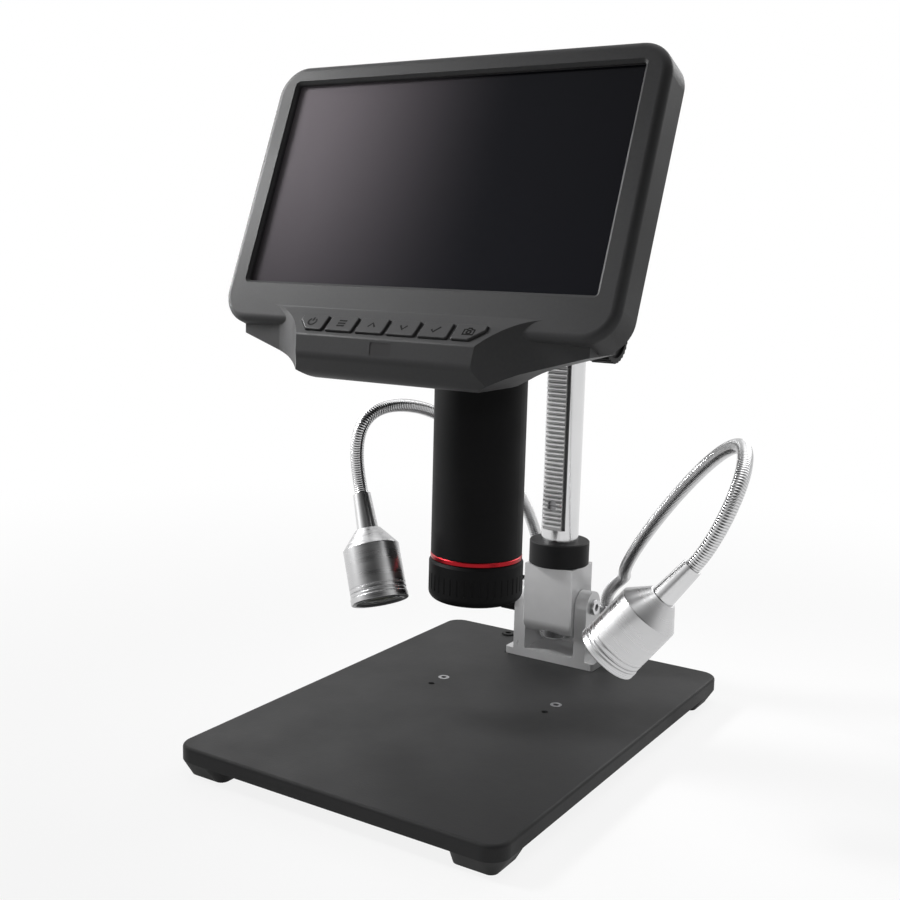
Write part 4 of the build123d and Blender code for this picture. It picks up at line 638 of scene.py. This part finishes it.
def powder_coat(name, colour):
    """Powder coat: low rounded bumps like a fine orange peel, and faint dust marks."""
    made = Finish(name, colour, roughness=0.55, specular=0.16)
    made.bump(made.noise(1100.0, detail=2.0), 0.06 * MM, 0.7)
    made.bump(made.noise(240.0, detail=2.0, rough=0.4), 0.08 * MM, 0.35)
    made.vary_roughness(made.noise(30.0, detail=5.0, rough=0.6), 0.48, 0.62, (0.3, 0.75))
    made.vary_colour(made.noise(60.0, detail=5.0, rough=0.7), 0.85, 1.15)
    return made.material


def anodised(name, colour, rough=0.52):
    """Matt anodised aluminium: very fine blasted grain with a soft uneven sheen."""
    made = Finish(name, colour, roughness=rough, specular=0.08)
    made.bump(made.noise(2600.0, detail=2.0), 0.02 * MM, 0.5)
    made.vary_roughness(made.noise(40.0, detail=4.0, rough=0.6), rough - 0.06, rough + 0.08)
    made.vary_colour(made.noise(900.0, rough=0.6), 0.85, 1.2)
    return made.material


def bright_anodised(name, colour):
    """Polished and dyed aluminium: a coloured metal with shallow, very fine rings round Z."""
    made = Finish(name, colour, metallic=0.85, roughness=0.28)
    rings = made.noise(1500.0, detail=2.0, source=made.mapped(scale=(1.0, 1.0, 30.0)))
    made.bump(rings, 0.01 * MM, 0.5)
    made.vary_roughness(made.noise(60.0), 0.22, 0.36)
    made.vary_colour(made.noise(50.0), 0.8, 1.1)
    return made.material


def blasted_aluminium(name, colour, rough=0.34):
    """Bead-blasted and clear-anodised aluminium.

    A partly matt metal with a fine dimpled grain and cloudy gloss.
    """
    made = Finish(name, colour, metallic=0.4, roughness=rough)
    made.bump(made.cells(2400.0), 0.02 * MM, 0.5)
    made.vary_roughness(made.noise(70.0, detail=5.0, rough=0.6), rough - 0.07, rough + 0.08)
    made.vary_colour(made.noise(120.0, detail=4.0, rough=0.6), 0.92, 1.06)
    return made.material


def turned_metal(name, colour, rough=0.27, lines=420.0):
    """Lathe-turned metal: fine rings along the piece's own length, from its UV map."""
    made = Finish(name, colour, metallic=1.0, roughness=rough)
    uv = made.node("ShaderNodeUVMap", uv_map="UVMap").outputs["UV"]
    rings = made.noise(lines, detail=2.0, source=made.mapped(scale=(1.0, 0.004, 1.0), source=uv))
    made.bump(rings, 0.012 * MM, 0.5)
    made.vary_roughness(rings, rough - 0.04, rough + 0.08)
    made.vary_colour(made.noise(90.0, detail=4.0, rough=0.6), 0.94, 1.05)
    return made.material


def ground_steel(name, colour, rough=0.17):
    """Ground and polished steel: faint streaks drawn out along Z."""
    made = Finish(name, colour, metallic=1.0, roughness=rough)
    streaks = made.noise(900.0, rough=0.6, source=made.mapped(scale=(1.0, 1.0, 0.02)))
    made.bump(streaks, 0.006 * MM, 0.4)
    made.vary_roughness(streaks, rough - 0.03, rough + 0.07)
    made.vary_colour(made.noise(60.0), 0.94, 1.04)
    return made.material


def milled_steel(name, colour, rough=0.3):
    """Zinc-plated or milled steel: cloudy plating with tiny scratches."""
    made = Finish(name, colour, metallic=1.0, roughness=rough)
    made.bump(made.noise(1800.0, rough=0.6), 0.01 * MM, 0.6)
    made.vary_roughness(made.noise(160.0, detail=5.0, rough=0.7), rough - 0.08, rough + 0.12)
    made.vary_colour(made.noise(240.0, detail=4.0, rough=0.6), 0.85, 1.08)
    return made.material


def rack_steel(name, colour, tips, roots):
    """Milled rack: bright tooth tips, and painted shade in the gaps where Y runs from the tips to
    the roots.
    """
    made = Finish(name, colour, metallic=0.8, roughness=0.34)
    made.bump(made.noise(1800.0, rough=0.6), 0.01 * MM, 0.6)
    made.vary_roughness(made.noise(160.0, detail=5.0, rough=0.7), 0.28, 0.44)
    cloudy = made.blend(
        made.noise(240.0, detail=4.0, rough=0.6), toned(colour, 0.85), toned(colour, 1.08)
    )
    # painted shade: the gaps between the teeth darken towards their roots, to 0.3 of the steel's
    # colour
    painted_gap_shade = made.span(made.axis("Y"), tips, roots, 0.0, 1.0)
    made.paint(made.blend(painted_gap_shade, cloudy, toned(colour, 0.3)))
    return made.material


def ribbed_chrome(name, colour):
    """Chromed gooseneck: bright ribs, and rougher metal down in the grooves, with painted shade
    there.
    """
    made = Finish(name, colour, metallic=1.0, roughness=0.16)
    groove = made.node("ShaderNodeAttribute", attribute_name="groove").outputs["Fac"]
    speck = made.noise(900.0, rough=0.7)
    rib = made.blend(speck, toned(colour, 0.86), toned(colour, 1.1))
    # painted shade: down in the grooves the chrome's colour is darkened to 0.42
    made.paint(made.blend(made.span(groove, 0.15, 0.9, 0.0, 1.0), rib, toned(colour, 0.42)))
    made.vary_roughness(groove, 0.14, 0.4, (0.1, 0.9))
    made.bump(speck, 0.01 * MM, 0.5)
    return made.material


def screen_glass(name, dark, painted_reflection, foot, head):
    """Unlit panel: near black, with a painted reflection of a lamp that fades from the upper left
    corner.

    The painted reflection falls off across the panel and grows from the foot to the head of its
    leaning plane.
    """
    made = Finish(name, dark, roughness=0.2, specular=0.08)
    # painted reflection: the pale colour is blended in by place on the panel, standing in for a
    # lamp's glare
    upright = made.mapped(turn=(LEAN, 0.0, 0.0))
    across = made.span(made.axis("X", upright), PAINTED_REFLECTION_FROM, PAINTED_REFLECTION_TO, 1.0, 0.0, smooth=True)
    rise = made.span(made.axis("Z", upright), foot, head, PAINTED_REFLECTION_AT_FOOT, PAINTED_REFLECTION_AT_HEAD)
    made.paint(made.blend(made.worked_out("MULTIPLY", across, rise), dark, painted_reflection))
    made.vary_roughness(made.noise(500.0, detail=2.0), 0.13, 0.2)
    return made.material


def clear_glass(name, colour):
    """Clear lens: smooth glass with the faintest unevenness."""
    made = Finish(name, colour, roughness=0.03)
    made.set(Transmission_Weight=0.92, IOR=1.49)
    made.vary_roughness(made.noise(300.0, detail=2.0), 0.02, 0.06)
    return made.material


def soft_rubber(name, colour):
    """Rubber: fine pores and a dull, slightly dusty skin."""
    made = Finish(name, colour, roughness=0.72, specular=0.3)
    made.bump(made.noise(1500.0, rough=0.6), 0.05 * MM, 0.6)
    made.vary_roughness(made.noise(60.0, detail=4.0, rough=0.6), 0.64, 0.82)
    made.vary_colour(made.noise(200.0, detail=4.0, rough=0.7), 0.8, 1.3)
    return made.material


def solder_mask(name, colour):
    """Circuit board: green mask over faint tracks."""
    made = Finish(name, colour, roughness=0.35)
    tracks = made.cells(260.0)
    made.bump(tracks, 0.03 * MM, 0.5)
    made.vary_colour(tracks, 0.7, 1.5)
    return made.material


def diode_board(name, colour):
    """Lamp board: pale mask round the diode, a little mottled."""
    made = Finish(name, colour, roughness=0.4)
    made.vary_colour(made.noise(300.0), 0.8, 1.1)
    return made.material


def dress(material, *names):
    """Gives CAD nodes a finish."""
    for name in names:
        mesh = nodes[name].data
        mesh.materials.clear()
        mesh.materials.append(material)


# ---------------------------------------------------------------- operators


class MICROSCOPE_OT_base(Operator):
    """Powder-coated base tray with rubber feet, clip inserts and grommet"""

    bl_idname = "microscope.base"
    bl_label = "Base"

    def execute(self, context):
        colours = context.scene.microscope_colours
        dress(powder_coat("base_powder_coat", colours.base_coat), "base_plate")
        dress(soft_rubber("foot_rubber", colours.rubber), "corner_feet", "cord_grommet")
        dress(milled_steel("zinc_plate", ZINC), "foot_screws")
        dress(milled_steel("insert_steel", INSERT_STEEL, rough=0.42), "clip_inserts")
        return {"FINISHED"}


class MICROSCOPE_OT_stand(Operator):
    """Blasted bracket and block, polished column with its rack, collar and tilt knob"""

    bl_idname = "microscope.stand"
    bl_label = "Stand"

    def execute(self, context):
        colours = context.scene.microscope_colours
        blasted = blasted_aluminium("bracket_blasted", colours.aluminium)
        dress(blasted, "stand_bracket", "post_block")
        dress(ground_steel("column_ground", colours.chrome), "column")
        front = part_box("rack")[0][1]
        milled = rack_steel("rack_milled", RACK_STEEL, front + RACK_TIPS, front + RACK_ROOTS)
        dress(milled, "rack")
        screws = milled_steel("screw_steel", SCREW_STEEL, rough=0.24)
        dress(screws, "bracket_screws", "lamp_grub_screws", "tilt_bolt")
        dress(milled_steel("rack_screw_steel", RACK_SCREW_STEEL, rough=0.4), "rack_screws")
        moulded = moulded_plastic("knob_moulded", colours.knob, grain=1700.0, rough=0.5)
        dress(moulded, "column_collar", "tilt_knob")
        return {"FINISHED"}


class MICROSCOPE_OT_carriage(Operator):
    """Black anodised carriage and holder, focusing knobs, lock knob and shaft"""

    bl_idname = "microscope.carriage"
    bl_label = "Carriage"

    def execute(self, context):
        colours = context.scene.microscope_colours
        black = anodised("carriage_anodised", colours.carriage, rough=0.4)
        dress(black, "carriage_body", "holder")
        moulded = moulded_plastic("drive_knob_moulded", colours.knob, grain=1900.0, rough=0.48)
        dress(moulded, "coarse_knob_left", "coarse_knob_right", "lock_knob", "pinch_screw")
        dress(milled_steel("shaft_steel", SHAFT_STEEL, rough=0.22), "pinion_shaft", "arm_screws")
        dress(milled_steel("pad_brass", BRASS), "lock_pad")
        return {"FINISHED"}


class MICROSCOPE_OT_barrel(Operator):
    """Matt barrel, red band, focusing ring and lens"""

    bl_idname = "microscope.barrel"
    bl_label = "Barrel"

    def execute(self, context):
        colours = context.scene.microscope_colours
        dress(anodised("barrel_anodised", colours.barrel), "barrel", "focus_ring")
        dress(anodised("nose_anodised", NOSE_BLACK, rough=0.6), "nose_ring", "lens_cell")
        dress(bright_anodised("band_anodised", colours.band), "red_band")
        dress(clear_glass("lens_clear", LENS_TINT), "lens_glass")
        dress(solder_mask("sensor_mask", MASK_GREEN), "sensor_board")
        dress(milled_steel("flange_steel", FLANGE_STEEL), "flange_screws")
        return {"FINISHED"}


class MICROSCOPE_OT_housing(Operator):
    """Moulded screen housing with its console, screws and inner boards"""

    bl_idname = "microscope.housing"
    bl_label = "Housing"

    def execute(self, context):
        colours = context.scene.microscope_colours
        dress(moulded_plastic("housing_moulded", colours.housing), "front_shell", "rear_shell")
        dress(milled_steel("shell_screw_steel", SHELL_SCREW_STEEL), "shell_screws")
        # the panel's foot and head along its leaning plane, between which the painted reflection
        # grows
        foot, head = (
            corner[1] * math.sin(LEAN) + corner[2] * math.cos(LEAN)
            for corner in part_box("lcd_panel")
        )
        panel = screen_glass("panel_dark", colours.screen, colours.screen_painted_reflection, foot, head)
        dress(panel, "lcd_panel")
        dress(solder_mask("board_mask", MASK_GREEN), "main_board", "key_board")
        dress(moulded_plastic("tray_plastic", TRAY_GREY, grain=400.0), "lcd_tray")
        dress(dark_window("window_dark", WINDOW_BLACK), "ir_window")
        return {"FINISHED"}


class MICROSCOPE_OT_keys(Operator):
    """Six key caps with inlaid generic signs"""

    bl_idname = "microscope.keys"
    bl_label = "Keys"

    def execute(self, context):
        colours = context.scene.microscope_colours
        sizes = context.scene.microscope_sizes
        caps = moulded_plastic("key_moulded", colours.key_cap, grain=1900.0, rough=0.42)
        dress(caps, *KEY_NAMES)
        ink = moulded_plastic(
            "sign_inlay", colours.glyph, grain=2200.0, rough=0.6, relief=0.01 * MM, gloss=0.06
        )
        signs = key_signs()
        for place, name in enumerate(KEY_NAMES):
            middle = (place - (len(KEY_NAMES) - 1) / 2) * KEY_PITCH
            parts = []
            for points, closed in signs[name]:
                slab = stroke_slab(
                    points * sizes.sign_height, sizes.sign_stroke, sizes.sign_rise, closed
                )
                parts.append((on_key_cap(slab, middle), closed))
            mesh = joined_mesh(name + "_sign", parts)
            add_piece(name + "_sign", mesh, ink, name, sharp_degrees=20)
        return {"FINISHED"}


class MICROSCOPE_OT_goosenecks(Operator):
    """Ribbed chrome goosenecks and their root pieces"""

    bl_idname = "microscope.goosenecks"
    bl_label = "Goosenecks"

    def execute(self, context):
        colours = context.scene.microscope_colours
        sizes = context.scene.microscope_sizes
        chrome = ribbed_chrome("gooseneck_chrome", colours.chrome)
        for word, lamp in LAMPS.items():
            path, where = even_path(lamp_route(lamp), sizes.rib_pitch / RINGS_PER_RIB)
            mesh = ribbed_tube(
                "neck_" + word, path, where, NECK_RADIUS * MM, sizes.rib_depth, sizes.rib_pitch
            )
            add_piece("ribbed_neck_" + word, mesh, chrome, "arm_" + word,
                      ["gooseneck_" + word], 180)
        dress(milled_steel("root_plated", ZINC, rough=0.2), "lamp_root_left", "lamp_root_right")
        return {"FINISHED"}


class MICROSCOPE_OT_lamps(Operator):
    """Turned lamp heads with grooved rims, sleeves and clear lenses"""

    bl_idname = "microscope.lamps"
    bl_label = "Lamp heads"

    def execute(self, context):
        colours = context.scene.microscope_colours
        metal = turned_metal("lamp_turned", colours.aluminium)
        sleeve_metal = turned_metal("sleeve_turned", colours.chrome, rough=0.22, lines=160.0)
        for word, lamp in LAMPS.items():
            origin = np.array(lamp["rim"]) * MM
            back = -unit(lamp["aim"])
            for part, node, bevel, outline in LAMP_TURNINGS:
                profile = rounded_profile(np.array(outline) * MM, bevel * MM)
                mesh = turned(part + "_" + word, origin, back, profile)
                add_piece("turned_" + part + "_" + word, mesh, metal, "arm_" + word,
                          [node + word], 40)
            dress(sleeve_metal, "lamp_sleeve_" + word)
        lens = clear_glass("lamp_lens_clear", LAMP_LENS_TINT)
        dress(lens, "lamp_lens_left", "lamp_lens_right")
        board = diode_board("diode_board", DIODE_YELLOW)
        dress(board, "lamp_board_left", "lamp_board_right")
        return {"FINISHED"}


class MICROSCOPE_OT_stage(Operator):
    """Pale floor, white surroundings, soft lamps and the camera"""

    bl_idname = "microscope.stage"
    bl_label = "Stage"

    def execute(self, context):
        scene = context.scene
        scene.view_settings.view_transform = "Standard"
        self.floor(scene, cad_box[0][2])
        self.surroundings(scene)
        self.lamps(scene)
        self.camera(scene)
        return {"FINISHED"}

    def floor(self, scene, low):
        """A wide floor that takes shadows near the object and is plain background further out."""
        mesh = bpy.data.meshes.new("floor")
        turns = ((-1, -1), (1, -1), (1, 1), (-1, 1))
        corners = [(x * FLOOR_HALF, y * FLOOR_HALF, low) for x, y in turns]
        mesh.from_pydata(corners, [], [(0, 1, 2, 3)])
        floor = bpy.data.objects.new("floor", mesh)
        scene.collection.objects.link(floor)
        made = Finish("floor_pale", FLOOR_COLOUR, roughness=0.9, specular=0.1)
        made.vary_colour(made.noise(3.0, detail=2.0), 0.995, 1.005)
        plain = made.node("ShaderNodeEmission")
        plain.inputs["Strength"].default_value = 1.0
        distance = made.node("ShaderNodeVectorMath", operation="LENGTH")
        made.link(made.mapped(scale=(1, 1, 0)), distance.inputs[0])
        sizes = scene.microscope_sizes
        fade = made.span(distance.outputs["Value"], sizes.floor_clear, sizes.floor_fade,
                         FLOOR_SHARE, 1.0, smooth=True)
        seen = made.rays("Is Camera Ray", "Is Transmission Ray", "Is Glossy Ray")
        mix = made.node("ShaderNodeMixShader")
        made.link(made.worked_out("MULTIPLY", fade, seen), mix.inputs["Fac"])
        made.link(made.shader.outputs["BSDF"], mix.inputs[1])
        made.link(plain.outputs["Emission"], mix.inputs[2])
        made.link(mix.outputs[0], made.surface)
        mesh.materials.append(made.material)

    def surroundings(self, scene):
        """White where the camera or a clear piece looks, dim as a light.

        Reflections see a pale studio with a dark side in front of the object.
        """
        world = bpy.data.worlds.new("studio")
        scene.world = world
        world.use_nodes = True
        made = NodeWork(world.node_tree)
        sky = made.node("ShaderNodeBackground")
        sky.inputs["Color"].default_value = (1, 1, 1, 1)
        made.link(sky.outputs[0], made.node("ShaderNodeOutputWorld").inputs["Surface"])
        facing = made.node("ShaderNodeVectorMath", operation="DOT_PRODUCT")
        facing.inputs[1].default_value = unit(DARK_WAY)
        made.link(made.node("ShaderNodeTexCoord").outputs["Generated"], facing.inputs[0])
        studio = made.span(facing.outputs["Value"], DARK_START, DARK_FULL,
                           MIRRORED_BRIGHT, MIRRORED_DARK, smooth=True)
        unseen = made.blend(made.rays("Is Glossy Ray"), SKY_LIGHT, studio, "FLOAT")
        seen = made.rays("Is Camera Ray", "Is Transmission Ray")
        made.link(made.blend(seen, unseen, 1.0, "FLOAT"), sky.inputs["Strength"])

    def lamps(self, scene):
        """Soft boxes, and spots with a soft edge to their cone."""
        for name, place, aim, size, power, cone, mirrored in STUDIO_LAMPS:
            data = bpy.data.lights.new(name, "SPOT" if cone else "AREA")
            if cone:
                data.spot_size = math.radians(cone)
                data.spot_blend = 1.0
                data.shadow_soft_size = size
            else:
                data.shape = "SQUARE"
                data.size = size
            data.energy = power
            lamp = bpy.data.objects.new(name, data)
            lamp.visible_glossy = mirrored
            lamp.location = place
            lamp.rotation_euler = (Vector(aim) - Vector(place)).to_track_quat("-Z", "Y").to_euler()
            scene.collection.objects.link(lamp)

    def camera(self, scene):
        """A camera a little above the object's middle, to its front right."""
        data = bpy.data.cameras.new("view")
        data.lens = VIEW_LENS
        data.sensor_width = VIEW_SENSOR
        data.clip_start = VIEW_NEAR
        data.clip_end = VIEW_FAR
        view = bpy.data.objects.new("view", data)
        ahead = Vector(VIEW_AHEAD)
        right = Vector(VIEW_RIGHT).normalized()
        up = right.cross(ahead).normalized()
        turn = Matrix((right, up, -ahead.normalized())).transposed()
        view.matrix_world = Matrix.Translation(VIEW_PLACE) @ turn.to_4x4()
        scene.collection.objects.link(view)
        scene.camera = view


OPERATORS = (
    MICROSCOPE_OT_base,
    MICROSCOPE_OT_stand,
    MICROSCOPE_OT_carriage,
    MICROSCOPE_OT_barrel,
    MICROSCOPE_OT_housing,
    MICROSCOPE_OT_keys,
    MICROSCOPE_OT_goosenecks,
    MICROSCOPE_OT_lamps,
    MICROSCOPE_OT_stage,
)


class MICROSCOPE_PT_panel(Panel):
    """Settings and steps of the microscope"""

    bl_idname = "MICROSCOPE_PT_panel"
    bl_label = "Microscope"
    bl_space_type = "VIEW_3D"
    bl_region_type = "UI"
    bl_category = "Microscope"

    def draw(self, context):
        for group in (context.scene.microscope_colours, context.scene.microscope_sizes):
            box = self.layout.box()
            for name in group.__annotations__:
                box.prop(group, name)
        for operator in OPERATORS:
            self.layout.operator(operator.bl_idname)


CLASSES = (MicroscopeColours, MicroscopeSizes, *OPERATORS, MICROSCOPE_PT_panel)


def register():
    """Registers the classes and puts the settings on the scene."""
    for one in CLASSES:
        bpy.utils.register_class(one)
    bpy.types.Scene.microscope_colours = PointerProperty(type=MicroscopeColours)
    bpy.types.Scene.microscope_sizes = PointerProperty(type=MicroscopeSizes)


def unregister():
    """Takes away what register has put in place."""
    del bpy.types.Scene.microscope_sizes
    del bpy.types.Scene.microscope_colours
    for one in reversed(CLASSES):
        bpy.utils.unregister_class(one)


def main():
    """Builds the whole scene."""
    register()
    for operator in OPERATORS:
        group, name = operator.bl_idname.split(".")
        getattr(getattr(bpy.ops, group), name)()


if __name__ == "__main__":
    main()
